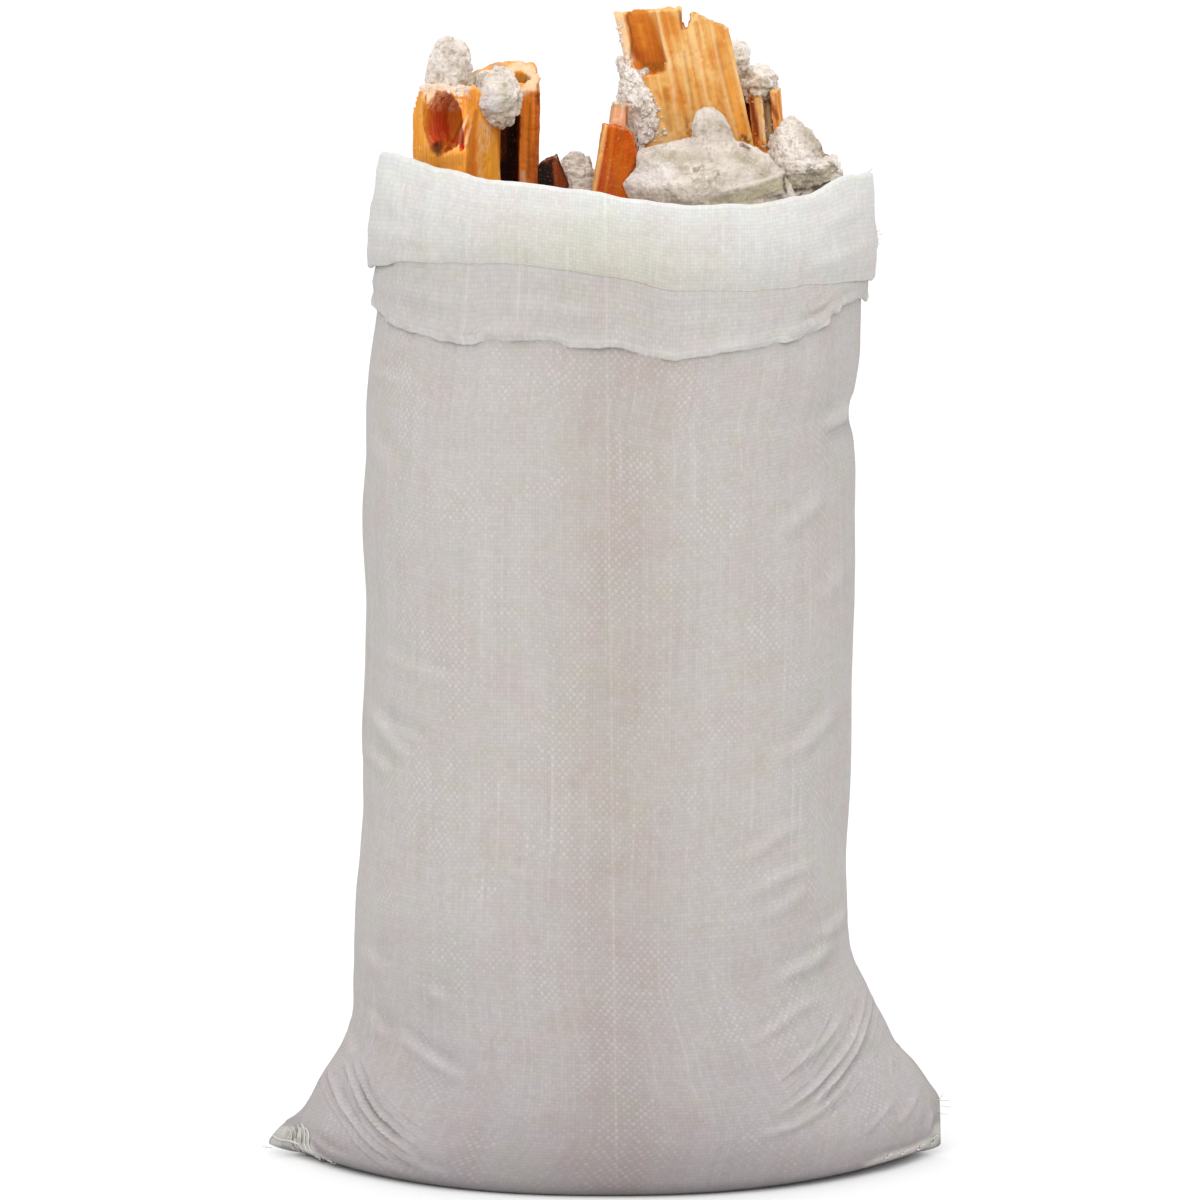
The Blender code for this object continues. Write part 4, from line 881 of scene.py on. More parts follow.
def fold_relief(px, py, folds):
    """How far the cloth stands out along the folds: a rounded ridge with a hollow on both sides."""
    relief = np.zeros(px.shape)
    for route, rise, width in folds:
        distance, along = from_line(px, py, dense_route(route))
        across = distance * PIXEL / width
        taper = smooth_step(0.0, 0.30, along) * smooth_step(0.0, 0.40, 1 - along)
        hollow = 0.60 * bell(across - 1.5) + 0.25 * bell(across + 1.7)
        relief += FOLD_DEPTH * rise * taper * (bell(across) - hollow)
    return relief


def dense_route(route):
    """The same route as one smooth line of more points."""
    route = np.array(route, float)
    places = np.linspace(0, len(route) - 1, 16)
    known = np.arange(len(route))
    return np.stack([cubic(list(zip(known, route[:, i])))(places) for i in range(2)], axis=-1)


def back_folds():
    """Short folds near the sides of the back, in its own pixels."""
    chance = np.random.default_rng(11)
    folds = []
    for i in range(BACK_FOLDS):
        side = -1 if i % 2 else 1
        x0, y0 = MIDDLE_PX + side * chance.uniform(*BACK_FOLD_ASIDE), chance.uniform(*BACK_FOLD_ROWS)
        reach = chance.uniform(*BACK_FOLD_REACH)
        slope = chance.uniform(-0.2, 0.9)
        route = [(x0, y0), (x0 - side * reach * 0.5, y0 + reach * slope * 0.6)]
        route += [(x0 - side * reach, y0 + reach * slope)]
        folds.append((route, chance.uniform(0.0008, 0.0018), chance.uniform(0.006, 0.010)))
    return folds


class Skin:
    """The sack's skin by row and column: where it lies, and the weights that the cloth's material reads."""

    def __init__(self):
        angles = turn_angles()
        self.lower, self.upper, self.rim = mouth_edges(angles)
        rows = sack_rows(angles, self.lower, self.upper, self.rim)
        self.heights, self.offsets, self.insets = (np.array([row[i] for row in rows]) for i in range(3))
        layers = np.array([row[3] for row in rows])
        self.layer = {name: np.isin(layers, name)[:, None] for name in set(layers)}
        self.banded = self.layer["lower_band"] | self.layer["upper_band"] | self.layer["rim"]
        self.turns = np.broadcast_to(angles, self.heights.shape)
        self.shape = section(self.turns, self.heights, np.zeros_like(self.heights))
        self.front = smooth_step(0.06, -0.10, np.sin(self.turns))
        self.back = smooth_step(-0.06, 0.10, np.sin(self.turns))
        self.px, self.py = photo_place(self.shape)
        self.back_px, self.back_py = photo_place(self.shape * np.array((1.0, -1.0, 1.0)))
        self.corner_px, self.corner_py = self.back_px - BACK_SHIFT[0], self.back_py - BACK_SHIFT[1]
        under_band = smooth_step(0.0, 0.012, self.lower - self.heights)
        self.below_band = (self.layer["base"] | self.layer["wall"]) * under_band
        self.off_floor = smooth_step(0.002, 0.020, self.heights)
        self.pucker = rough_noise(self.shape * np.array((1.0, 1.0, 0.5)), 0.013, 45, 3)
        self.folds = self.wall_folds()

    def wall_folds(self):
        """Folds of the wall, where the camera or a viewer behind sees them."""
        folds = self.front * fold_relief(self.px, self.py, CORNER_FOLDS + SOFT_FOLDS)
        folds += self.back * fold_relief(self.corner_px, self.corner_py, CORNER_FOLDS)
        folds += self.back * fold_relief(self.back_px, self.back_py, back_folds())
        return folds * self.below_band * self.off_floor

    def bulge(self):
        """How far rubble pushes the wall out in broad soft bulges, in all layers alike."""
        clear_of_floor = smooth_step(0.0, 0.10, self.heights)
        bulge = 0.0030 * noise(self.shape, 0.105, 21) + 0.0016 * noise(self.shape, 0.052, 22)
        bulge *= clear_of_floor * (1 - 0.75 * smooth_step(0.62, 0.74, self.heights))
        return bulge - 0.0012 * clear_of_floor

    def creasing(self):
        """Creasing of the cloth at a few millimetres, stronger near the floor and in the bands."""
        small = rough_noise(self.shape * np.array((1.0, 1.0, 0.45)), 0.016, 31, 3)
        fine = 0.00018 + 0.00030 * (1 - smooth_step(0.03, 0.16, self.heights))
        crumple = rough_noise(self.shape * np.array((0.55, 0.55, 1.5)), 0.026, 41, 4)
        near_hem = np.exp(-np.abs(self.heights - self.lower) / 0.010)
        near_hem += 0.5 * np.exp(-np.abs(self.heights - self.upper) / 0.012)
        near_hem *= 0.45 + 0.55 * self.front
        banded = 0.0010 * crumple + 0.0015 * near_hem * self.pucker
        relief = np.where(self.banded, banded, fine * small * self.off_floor)
        return np.where(self.layer["tuck"] | self.layer["inside"], 0.0, relief)

    def points(self):
        base = section(self.turns, self.heights, self.offsets, self.insets)
        flat = np.zeros_like(self.turns)
        outward = unit(np.stack([np.cos(self.turns), np.sin(self.turns) * 1.25, flat], axis=-1))
        band_folds = self.banded * self.front * fold_relief(self.px, self.py, BAND_FOLDS)
        return base + outward * (self.bulge() + (self.folds + band_folds) + self.creasing())[..., None]

    def painted_fold_shade(self):
        """Painted highlight on the crest of a fold and painted shade in its hollow, painted shade in the
        side creases, and painted shadow below the bands.
        """
        painted_fold_shade = np.clip(self.folds / 0.0020, -1.0, 1.0)
        painted_fold_shade -= 0.6 * bell(np.sin(self.turns) / SIDE_CREASE) * (0.4 + 0.6 * self.below_band)
        shadow = bell((self.lower - self.heights) / 0.0042) * smooth_step(-1.6, 0.2, self.pucker)
        return painted_fold_shade - 0.85 * self.front * (self.layer["wall"] | self.layer["tuck"]) * shadow

    def pale_and_highlight(self, up_cuff):
        """How white the cloth is where it is turned out: more so up the cuff, partly from its layers and
        partly painted light from above, with a painted highlight along the lower band's puffed edge.
        """
        painted_edge_highlight = bell((self.heights - self.lower - 0.0032) / 0.0034)
        patchy = smooth_step(-0.9, 0.5, rough_noise(self.shape * np.array((1.0, 1.0, 0.3)), 0.022, 51, 3))
        off_edge = smooth_step(0.0, 0.28, up_cuff)
        to_right = smooth_step(-0.02, 0.16, self.shape[..., 0])
        to_side = smooth_step(0.07, 0.19, np.abs(self.shape[..., 0]))
        pale_and_highlight = self.layer["lower_band"] * (0.03 + 0.12 * to_right + 0.45 * painted_edge_highlight * patchy)
        full = smooth_step(0.0, 1.0, up_cuff)
        pale_and_highlight = pale_and_highlight + self.layer["upper_band"] * (0.22 + 0.22 * off_edge + 0.45 * full**3 + 0.14 * to_side)
        return pale_and_highlight + self.layer["rim"] * 1.0 + self.layer["inside"] * 0.25

    def weights(self):
        x = self.shape[..., 0]
        up_cuff = (self.heights - self.upper) / (self.rim - self.upper)
        low_cuff = self.layer["upper_band"] * (1 - smooth_step(0.0, 1.0, up_cuff) ** 2)
        hem = sum(inside(self.px, self.py, route, 2.0) for route in HEMS)
        pale_and_highlight = self.pale_and_highlight(up_cuff)
        # The darkening toward the floor, partly dirt and partly painted shade, reaches less high at the
        # corners
        lift = 0.050 * smooth_step(0.09, 0.20, np.abs(x)) * smooth_step(0.0, 0.05, self.heights)
        weights = {
            "pale_and_highlight": pale_and_highlight,
            # Darker down the middle of the front
            "darker_middle": self.front * bell((x - 0.009) / 0.050) * (1 - 0.6 * self.banded),
            "painted_fold_shade": self.painted_fold_shade(),
            "hem": hem * self.front * self.below_band,
            "cream": self.front * low_cuff * bell(x / CREAM_HALF_WIDTH),
            "calm": np.clip(0.60 * self.banded + 0.55 * pale_and_highlight, 0.0, 0.95),
            "above_soil_and_shade": np.clip((self.heights + lift) / SOIL_AND_SHADE_HEIGHT, 0.0, 1.0),
        }
        behind = np.sin(self.turns) > 0
        px, py = np.where(behind, self.corner_px, self.px), np.where(behind, self.corner_py, self.py)
        for i, fan in enumerate(FANS):
            dx, dy = px - fan.centre[0], py - fan.centre[1]
            turn = np.degrees(np.arctan2(dy, dx))
            shown = smooth_step(*fan.angles[:2], turn) * smooth_step(fan.angles[3], fan.angles[2], turn)
            shown = shown * np.maximum(self.front, self.back) * self.below_band * self.off_floor
            weights[f"fan_{i}"] = (np.hypot(dx, dy) - fan.nearest) / fan.span
            weights[f"fanned_{i}"] = shown
        return weights


def ring_faces(rows, columns):
    """Quads between neighbouring rows of a tube, facing out where the rows run upward."""
    r = np.arange(rows - 1)[:, None]
    c = np.arange(columns)[None, :]
    nxt = (c + 1) % columns
    quads = [r * columns + c, r * columns + nxt, (r + 1) * columns + nxt, (r + 1) * columns + c]
    return np.stack([np.broadcast_to(q, (rows - 1, columns)) for q in quads], axis=-1).reshape(-1, 4)


def strip_cap(first, columns, upward):
    """Quads that close a ring by joining each front column to the one behind it."""
    i = np.arange(columns // 2)
    ahead, behind = (first + i), (first + (columns - i) % columns)
    ahead_next, behind_next = first + i + 1, first + (columns - i - 1) % columns
    quads = np.stack([ahead, ahead_next, behind_next, behind], axis=-1)
    return quads if upward else quads[:, ::-1]


def closed_grid(points):
    """The skin's rows with those that close it: the base drawn in to its seam, and the floor inside."""
    first, last = points[0], points[-1]
    below = np.array([first * np.array((1 - 0.03 * (1 - s), s, 0.0)) for s in (0.06, 0.3, 0.6, 0.85)])
    above = np.array([last * np.array((0.96, s, 1.0)) for s in (0.8, 0.4, 0.06)])
    above[..., 2] = 0.006
    return np.concatenate([below, points, above]), (len(below), len(above))


def cloth_uvs(grid):
    """Cloth coordinates in metres for each quad's corners: round the sack, and up along the cloth."""
    rows, columns = grid.shape[:2]
    middle = grid[rows // 3]
    round_steps = np.linalg.norm(np.roll(middle, -1, axis=0) - middle, axis=1)
    tapes = 2 * round(round_steps.sum() / WARP_TAPE / 2)
    u = np.concatenate([[0.0], np.cumsum(round_steps)]) * (tapes * WARP_TAPE / round_steps.sum())
    steps_up = np.linalg.norm(np.diff(grid, axis=0), axis=2).mean(axis=1)
    v = np.concatenate([[0.0], np.cumsum(steps_up)])
    r = np.repeat(np.arange(rows - 1), columns)
    c = np.tile(np.arange(columns), rows - 1)
    corners = ((0, 0), (1, 0), (1, 1), (0, 1))
    return np.stack([np.stack([u[c + i], v[r + j]], axis=-1) for i, j in corners], axis=1)


def woven_sack():
    """The whole sack as one cloth: its bottom, wall, turned mouth and the cloth inside."""
    skin = Skin()
    grid, closing = closed_grid(skin.points())
    rows, columns = grid.shape[:2]
    flat = grid.reshape(-1, 3)
    bottom = strip_cap(0, columns, upward=False)
    top = strip_cap((rows - 1) * columns, columns, upward=True)
    caps = np.concatenate([bottom, top])
    faces = np.concatenate([ring_faces(rows, columns), caps])
    uvs = np.concatenate([cloth_uvs(grid).reshape(-1, 2), flat[caps][..., :2].reshape(-1, 2)])
    obj = mesh_object("sack_cloth", flat, faces, uvs)
    for name, values in skin.weights().items():
        add_weights(obj.data, name, np.pad(values, (closing, (0, 0)), mode="edge").ravel())
    return dress(obj, "sack_cloth", cloth_material(), "woven_sack")


# Materials


class Value:
    """What a node gives, which can stand in a sum like a number."""

    def __init__(self, recipe, socket):
        self.recipe = recipe
        self.socket = socket

    def __add__(self, other):
        return self.recipe.math("ADD", self, other)

    def __sub__(self, other):
        return self.recipe.math("SUBTRACT", self, other)

    def __rsub__(self, other):
        return self.recipe.math("SUBTRACT", other, self)

    def __mul__(self, other):
        return self.recipe.math("MULTIPLY", self, other)

    def __truediv__(self, other):
        return self.recipe.math("DIVIDE", self, other)


class Recipe:
    """A short way to write the nodes of one material."""

    def __init__(self, name, roughness, specular=0.3):
        self.material = bpy.data.materials.new(name)
        self.material.use_nodes = True
        self.tree = self.material.node_tree
        self.shader = self.tree.nodes["Principled BSDF"]
        self.shader.inputs["Roughness"].default_value = roughness
        self.shader.inputs["Specular IOR Level"].default_value = specular

    def put(self, value, socket):
        if isinstance(value, Value):
            self.tree.links.new(value.socket, socket)
        elif socket.type == "RGBA":
            socket.default_value = (*value, 1.0)
        else:
            socket.default_value = value

    def new(self, kind, inputs=(), **settings):
        made = self.tree.nodes.new("ShaderNode" + kind)
        for name, value in settings.items():
            setattr(made, name, value)
        for name, value in dict(inputs).items():
            self.put(value, made.inputs[name])
        return made

    def node(self, kind, inputs=(), out=0, **settings):
        return Value(self, self.new(kind, inputs, **settings).outputs[out])

    def math(self, operation, one, other=0.0):
        return self.node("Math", {0: one, 1: other}, operation=operation)

    def parts(self, vector):
        return [Value(self, output) for output in self.new("SeparateXYZ", {0: vector}).outputs]

    def object_place(self, stretch=(1.0, 1.0, 1.0), turn=(0.0, 0.0, 0.0)):
        place = self.node("TexCoord", out="Object")
        inputs = {"Vector": place, "Scale": stretch, "Rotation": [math.radians(a) for a in turn]}
        return self.node("Mapping", inputs)

    def own_place(self, turn, stretch):
        """Object coordinates turned back to a piece's own axes, then stretched."""
        own = self.object_place(turn=[-angle for angle in turn])
        return self.node("Mapping", {"Vector": own, "Scale": stretch})

    def shifted_place(self, shift):
        return self.node("VectorMath", {0: self.object_place(), 1: shift}, operation="ADD")

    def noise(self, vector, scale, detail, rough=0.55):
        inputs = {"Vector": vector, "Scale": scale, "Detail": detail, "Roughness": rough}
        return self.node("TexNoise", inputs)

    def weight(self, name):
        return self.node("Attribute", out="Fac", attribute_name=name)

    def ramp(self, value, stops, smooth=True):
        """A value turned to a colour or to a grey by a few (place, colour) stops."""
        made = self.new("ValToRGB", {0: value})
        elements = made.color_ramp.elements
        made.color_ramp.interpolation = "EASE" if smooth else "LINEAR"
        while len(elements) < len(stops):
            elements.new(0.5)
        for element, (place, colour) in zip(elements, stops):
            element.position = place
            colour = (colour,) * 3 if isinstance(colour, float) else colour
            element.color = (*colour, 1.0)
        return Value(self, made.outputs[0])

    def mix(self, share, one, other, blend="MIX"):
        return self.node("Mix", {0: share, 6: one, 7: other}, out=2, data_type="RGBA", blend_type=blend)

    def tinted(self, colour, *tints):
        """The colour under tints: each one's value, where it starts and is full, how much and its shade."""
        for value, start, full, share, shade in tints:
            colour = self.mix(self.ramp(value, sorted([(start, 0.0), (full, share)])), colour, shade)
        return colour

    def weighted(self, colour, *tints):
        """The colour under tints by weight: each weight's name, how much it tints, and its shade."""
        for name, share, shade in tints:
            colour = self.mix(self.weight(name) * share, colour, shade)
        return colour

    def marked(self, colour, variety):
        """The colour under a piece's marks, which vary a little too."""
        shades = self.node("Attribute", out="Color", attribute_name="shades")
        shades = self.mix(1.0, shades, variety, "MULTIPLY")
        return self.mix(1.0, self.weighted(colour, ("cover", 1.0, BLACK)), shades, "ADD")

    def bump(self, height, distance, strength, under=None):
        inputs = {"Height": height, "Distance": distance, "Strength": strength}
        if under is not None:
            inputs["Normal"] = under
        return self.node("Bump", inputs)

    def finish(self, colour, normal=None):
        self.put(colour, self.shader.inputs["Base Color"])
        if normal is not None:
            self.put(normal, self.shader.inputs["Normal"])
        return self.material


def hump(place):
    """A tape's rounded back, from 0 at its edges to 1."""
    spread = (place.recipe.math("FRACT", place) - 0.5) * 2.0
    return 1.0 - place.recipe.math("POWER", place.recipe.math("ABSOLUTE", spread), 4.0)


def tape_shade(recipe, tape, along_it, seed):
    """A shade for each tape, from -0.5 to 0.5, which drifts slowly along it."""
    spot = recipe.node("CombineXYZ", {0: tape * 7.31, 1: along_it, 2: seed})
    return recipe.noise(recipe.node("Mapping", {"Vector": spot, "Scale": (1, 6, 1)}), 1.0, 1.0) - 0.5


def cloth_white(recipe, place):
    """The cloth's white by how it is turned, with its painted light, darker in the middle, and darker low
    down from dirt and painted shade, with warm and cool patches.
    """
    colour = recipe.mix(recipe.weight("darker_middle"), CLOTH_GREY, CLOTH_DARKER_MIDDLE)
    # Whiter where turned out: partly the cloth's layers, partly painted light and a painted highlight
    colour = recipe.mix(recipe.weight("pale_and_highlight"), colour, CLOTH_WHITE)
    # Darker toward the floor: partly dirt, partly painted shade
    soil_and_shade = [(height / SOIL_AND_SHADE_HEIGHT, shade) for height, shade in FLOOR_SOIL_AND_SHADE]
    colour = recipe.mix(1.0, colour, recipe.ramp(recipe.weight("above_soil_and_shade"), soil_and_shade, smooth=False), "MULTIPLY")
    colour = recipe.mix(recipe.weight("cream"), colour, CREAM_TINT, "MULTIPLY")
    colour = recipe.weighted(colour, ("hem", 0.65, CLOTH_HEM))
    warm = recipe.ramp(recipe.noise(place, 26.0, 3.0), [(0.47, 0.0), (0.64, 0.8)])
    aslant = recipe.object_place((1.0, 1.0, 1.6), (0, 0, 40))
    cool = recipe.ramp(recipe.noise(aslant, 34.0, 3.0), [(0.49, 0.0), (0.66, 0.8)])
    colour = recipe.mix(warm, colour, WARM_TINT, "MULTIPLY")
    return recipe.mix(cool, colour, COOL_TINT, "MULTIPLY")


def checker_shade_and_speckle(recipe, warp, weft, on_top):
    """The weave's checker of painted light and shade, lighter where one tape lies on top as if it caught
    more light, clear in patches and faint elsewhere, with a speckle of random tone.
    """
    patches = recipe.noise(recipe.object_place((1.0, 1.0, 0.8)), 22.0, 2.0)
    contrast = recipe.ramp(recipe.weight("darker_middle") * 0.10 + patches, [(0.47, 0.010), (0.70, 0.105)])
    chance = recipe.node("TexWhiteNoise", {"Vector": recipe.node("CombineXYZ", {0: warp, 1: weft})})
    contrast = contrast * (1.0 - recipe.weight("calm")) * (chance * 1.2 + 0.4)
    return (on_top - 0.5) * contrast + (chance - 0.5) * 0.085


def arc_crease_shade_and_relief(recipe, place):
    """Fine folds in arcs round each lower corner: a painted highlight line with a painted shade line
    outside it, which also serve as bump heights.
    """
    wander = (recipe.noise(place, 30.0, 2.0) - 0.5) * 0.09
    fading = recipe.ramp(recipe.noise(place, 40.0, 2.0), [(0.34, 0.25), (0.56, 1.0)])
    creased = 0.0
    for i, fan in enumerate(FANS):
        stops = [(0.0, 0.5)]
        for radius, width, strength in fan.folds:
            for step, lift in ((-1.0, 0.0), (0.0, 0.5), (1.1, -0.5), (2.1, 0.0)):
                stops.append(((radius + step * width - fan.nearest) / fan.span, 0.5 + lift * strength))
        lines = recipe.ramp(recipe.weight(f"fan_{i}") + wander, stops, smooth=False) - 0.5
        creased = lines * recipe.weight(f"fanned_{i}") * fading + creased
    return creased


def front_crease_highlight(recipe, place):
    """A painted highlight along one pressed crease that runs down the middle of the front, and drifts to
    the right.
    """
    x, y, z = recipe.parts(place)
    aside = x - CREASE_PLACE - (CREASE_TOP - z) * CREASE_LEAN
    pale_and_highlight = recipe.math("ABSOLUTE", aside) * -CREASE_FADING + CREASE_HIGHLIGHT
    crease = recipe.math("MAXIMUM", pale_and_highlight, 0.0)
    return crease * recipe.math("LESS_THAN", y, 0.0)


def cloth_material():
    """Plain weave of flat tape: whiter where the mouth is turned out, darker in the middle, darker low down
    from dirt and painted shade, with painted light and shade on the weave and folds.
    """
    recipe = Recipe("woven_tape_cloth", roughness=0.62, specular=0.25)
    place = recipe.object_place()
    u, v, _ = recipe.parts(recipe.node("UVMap", uv_map="cloth"))
    across, along = u / WARP_TAPE, v / WEFT_TAPE
    warp, weft = recipe.math("FLOOR", across), recipe.math("FLOOR", along)
    # Which of the two tapes lies on top in each cell
    on_top = recipe.math("GREATER_THAN", recipe.math("PINGPONG", warp + weft, 1.0), 0.5)
    weave = recipe.node("Mix", {0: on_top, 2: hump(along), 3: hump(across)})
    warp_shade, weft_shade = tape_shade(recipe, warp, v, 0.0), tape_shade(recipe, weft, u, 5.0)
    shade = checker_shade_and_speckle(recipe, warp, weft, on_top) + warp_shade * 0.15 + weft_shade * 0.05
    shade = shade + recipe.math("GREATER_THAN", warp_shade, 0.20) * 0.030
    crease_shade_and_relief = arc_crease_shade_and_relief(recipe, place)
    # Painted highlights and shade of the folds, of the arcs of fine folds and of the front crease
    shade = shade + recipe.weight("painted_fold_shade") * 0.13 + crease_shade_and_relief * 0.22 + front_crease_highlight(recipe, place)
    # Painted shade in the gaps between the tapes
    gap_shade = (1.0 - weave) * -0.10
    colour = recipe.mix(1.0, cloth_white(recipe, place), shade + gap_shade + 1.0, "MULTIPLY")
    normal = recipe.bump(weave, 0.0003, 0.5)
    return recipe.finish(colour, recipe.bump(crease_shade_and_relief, 0.0012, 1.0, normal))


def thread_material():
    recipe = Recipe("white_thread", roughness=0.7)
    waves = {"Vector": recipe.object_place(), "Scale": 260.0, "Distortion": 1.0}
    twist = recipe.node("TexWave", waves, out=1)
    colour = recipe.ramp(twist, [(0.2, (0.46, 0.44, 0.40)), (0.7, (0.66, 0.65, 0.60))])
    return recipe.finish(colour, recipe.bump(twist, 0.0003, 0.6))


def clay_material(name, clay, seed):
    """Fired clay: uneven shades, drag lines along it, pale worn edges, painted shade in grooves and deep in
    channels, and a little dust.
    """
    recipe = Recipe(name, roughness=0.9, specular=0.06)
    place = recipe.shifted_place((seed, seed * 0.7, -seed))
    streaks = recipe.noise(recipe.own_place(clay.turn, (150.0, 150.0, 6.0)), 1.0, 2.0)
    lines = recipe.noise(recipe.own_place(clay.turn, (620.0, 620.0, 22.0)), 1.0, 2.0)
    grain = recipe.noise(place, 700.0, 3.0, 0.7)
    broad = recipe.noise(place, 38.0, 4.0)
    colour = recipe.ramp(broad, [(0.34, clay.low), (0.50, clay.middle), (0.66, clay.high)])
    colour = recipe.tinted(
        colour,
        (streaks, 0.48, 0.36, 0.55, clay.low),
        (streaks, 0.54, 0.66, 0.55, clay.high),
        (lines, 0.50, 0.36, 0.16, clay.low),
        (lines, 0.52, 0.68, 0.16, clay.high),
    )
    colour = recipe.weighted(
        colour,
        ("recess_shade", 0.85, clay.groove),
        ("broken", 0.45, clay.high),
        ("edge", 0.55, WORN_CLAY),
        ("hollow_shade", 1.0, clay.hollow),
    )
    colour = recipe.marked(colour, recipe.ramp(lines, [(0.30, 0.78), (0.70, 1.0)]))
    colour = recipe.tinted(
        colour,
        (grain, 0.60, 0.70, 0.30, WORN_CLAY),
        (grain, 0.40, 0.30, 0.35, clay.low),
        (recipe.noise(place, 260.0, 2.0, 0.6) - recipe.weight("hollow_shade") * 0.3, 0.80, 0.86, 0.50, MORTAR_DUST),
    )
    normal = recipe.bump(grain, 0.0005, 0.5)
    return recipe.finish(colour, recipe.bump(lines, 0.0005, 0.4, normal))


def cement_material(name, cement, seed=0.0):
    """Cement mortar or plaster: pale and gritty, with pits, sand grains, stained patches and painted shade
    in its recesses.
    """
    recipe = Recipe(name, roughness=0.93, specular=0.15)
    place = recipe.shifted_place((seed, -seed, seed * 0.6))
    grit = recipe.noise(place, 420.0, 3.0, 0.65)
    grains = recipe.node("TexVoronoi", {"Vector": place, "Scale": 300.0})
    broad = recipe.noise(place, 42.0, 4.0, 0.6)
    colour = recipe.ramp(broad, [(0.36, cement.low), (0.47, cement.middle), (0.60, cement.high)])
    colour = recipe.tinted(
        colour,
        (grit, 0.56, 0.66, 0.75, cement.high),
        (grit, 0.42, 0.32, 0.60, cement.low),
        (grains, 0.22, 0.14, 0.60, cement.sand),
    )
    colour = recipe.weighted(
        colour,
        ("recess_shade", 0.50, cement.low),
        ("pit", 0.45, cement.sand),
        ("edge", 0.45, cement.high),
    )
    colour = recipe.marked(colour, recipe.ramp(grit, [(0.30, 0.80), (0.70, 1.0)]))
    normal = recipe.bump(grit, 0.0018, 1.0)
    return recipe.finish(colour, recipe.bump(grains, 0.0006, 0.5, normal))


# Rubble


def relaxed(points, edges, rounds):
    """The points after each has moved to the middle of its neighbours this many times."""
    count = np.bincount(edges.ravel(), minlength=len(points))[:, None]
    for _ in range(rounds):
        total = np.zeros_like(points)
        for axis in range(points.shape[1]):
            total[:, axis] = np.bincount(edges[:, 0], points[edges[:, 1], axis], len(points))
            total[:, axis] += np.bincount(edges[:, 1], points[edges[:, 0], axis], len(points))
        points = 0.4 * points + 0.6 * total / count
    return points


def fine_copy(node, voxel):
    """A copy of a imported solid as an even, fine mesh, with its points, edges and normals."""
    obj = bpy.data.objects.new("fine_" + node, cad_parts[node].data.copy())
    bpy.context.scene.collection.objects.link(obj)
    modifier = obj.modifiers.new("even", "REMESH")
    modifier.mode = "VOXEL"
    modifier.voxel_size = voxel
    bpy.context.view_layer.update()
    graph = bpy.context.evaluated_depsgraph_get()
    mesh = bpy.data.meshes.new_from_object(obj.evaluated_get(graph))
    obj.modifiers.clear()
    obj.data = mesh
    edges = np.empty(len(mesh.edges) * 2, np.int32)
    mesh.edges.foreach_get("vertices", edges)
    return obj, mesh_array(mesh, "co"), edges.reshape(-1, 2), mesh_array(mesh, "normal")


def even_directions(count):
    """Directions spread evenly over a sphere."""
    i = np.arange(count) + 0.5
    up = 1 - 2 * i / count
    turn = math.pi * (1 + math.sqrt(5)) * i
    flat = np.sqrt(1 - up**2)
    return np.stack([flat * np.cos(turn), flat * np.sin(turn), up], axis=-1)


def hidden_share(node, points, normals):
    """How much of its surroundings the solid itself hides from each point, from 0 to 1."""
    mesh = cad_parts[node].data
    tree = BVHTree.FromPolygons([v.co for v in mesh.vertices], [p.vertices for p in mesh.polygons])
    tried, hit = np.full(len(points), 1e-6), np.zeros(len(points))
    starts = points + normals * RAY_LIFT
    for direction in even_directions(RAYS):
        aim = Vector(direction)
        for i in np.flatnonzero(normals @ direction > 0.25):
            tried[i] += 1
            hit[i] += tree.ray_cast(Vector(starts[i]), aim, RAY_REACH)[0] is not None
    return hit / tried


def inside(px, py, route, soft):
    """How far each pixel lies inside a route that is as wide as it says at each point, from 0 to 1."""
    share = np.zeros(px.shape)
    for (x0, y0, half0), (x1, y1, half1) in zip(route, route[1:]):
        length = max(math.hypot(x1 - x0, y1 - y0), 1e-6)
        along = np.clip(((px - x0) * (x1 - x0) + (py - y0) * (y1 - y0)) / length**2, 0.0, 1.0)
        away = np.hypot(px - x0 - along * (x1 - x0), py - y0 - along * (y1 - y0))
        share = np.maximum(share, smooth_step(soft, -soft, away - half0 - along * (half1 - half0)))
    return share


def painted(node, mesh, points, normals):
    """Keeps the shades of a piece's marks, and tells how far they stand out at each point."""
    px, py = photo_place(points)
    facing = smooth_step(-0.2, 0.15, normals @ TO_CAMERA)
    shades, cover, rise = np.zeros((len(points), 3)), np.zeros(len(points)), np.zeros(len(points))
    for i, mark in enumerate(MARKS.get(node, [])):
        here = facing * inside(px, py, mark.route, mark.soft)
        rise += here * mark.rise
        if mark.grain:
            limit = 0.9 * (1 - 2 * mark.grain)
            here = here * smooth_step(limit - 0.15, limit + 0.15, noise(points, 0.0023, 200 + i))
        here = here * mark.share
        shades = shades * (1 - here)[:, None] + np.array(mark.shade) * here[:, None]
        cover = cover * (1 - here) + here
    layer = mesh.attributes.new("shades", "FLOAT_COLOR", "POINT")
    colours = np.column_stack([shades, np.ones(len(points))])
    layer.data.foreach_set("color", colours.astype(np.float32).ravel())
    add_weights(mesh, "cover", cover)
    return rise


def swelling(node, points):
    """How far each point moves where its piece swells or draws back."""
    px, py = photo_place(points)
    moved = np.zeros_like(points)
    for place, radius, push in SWELLINGS.get(node, []):
        moved += bell(np.hypot(px - place[0], py - place[1]) / radius)[:, None] * np.array(push)
    return moved


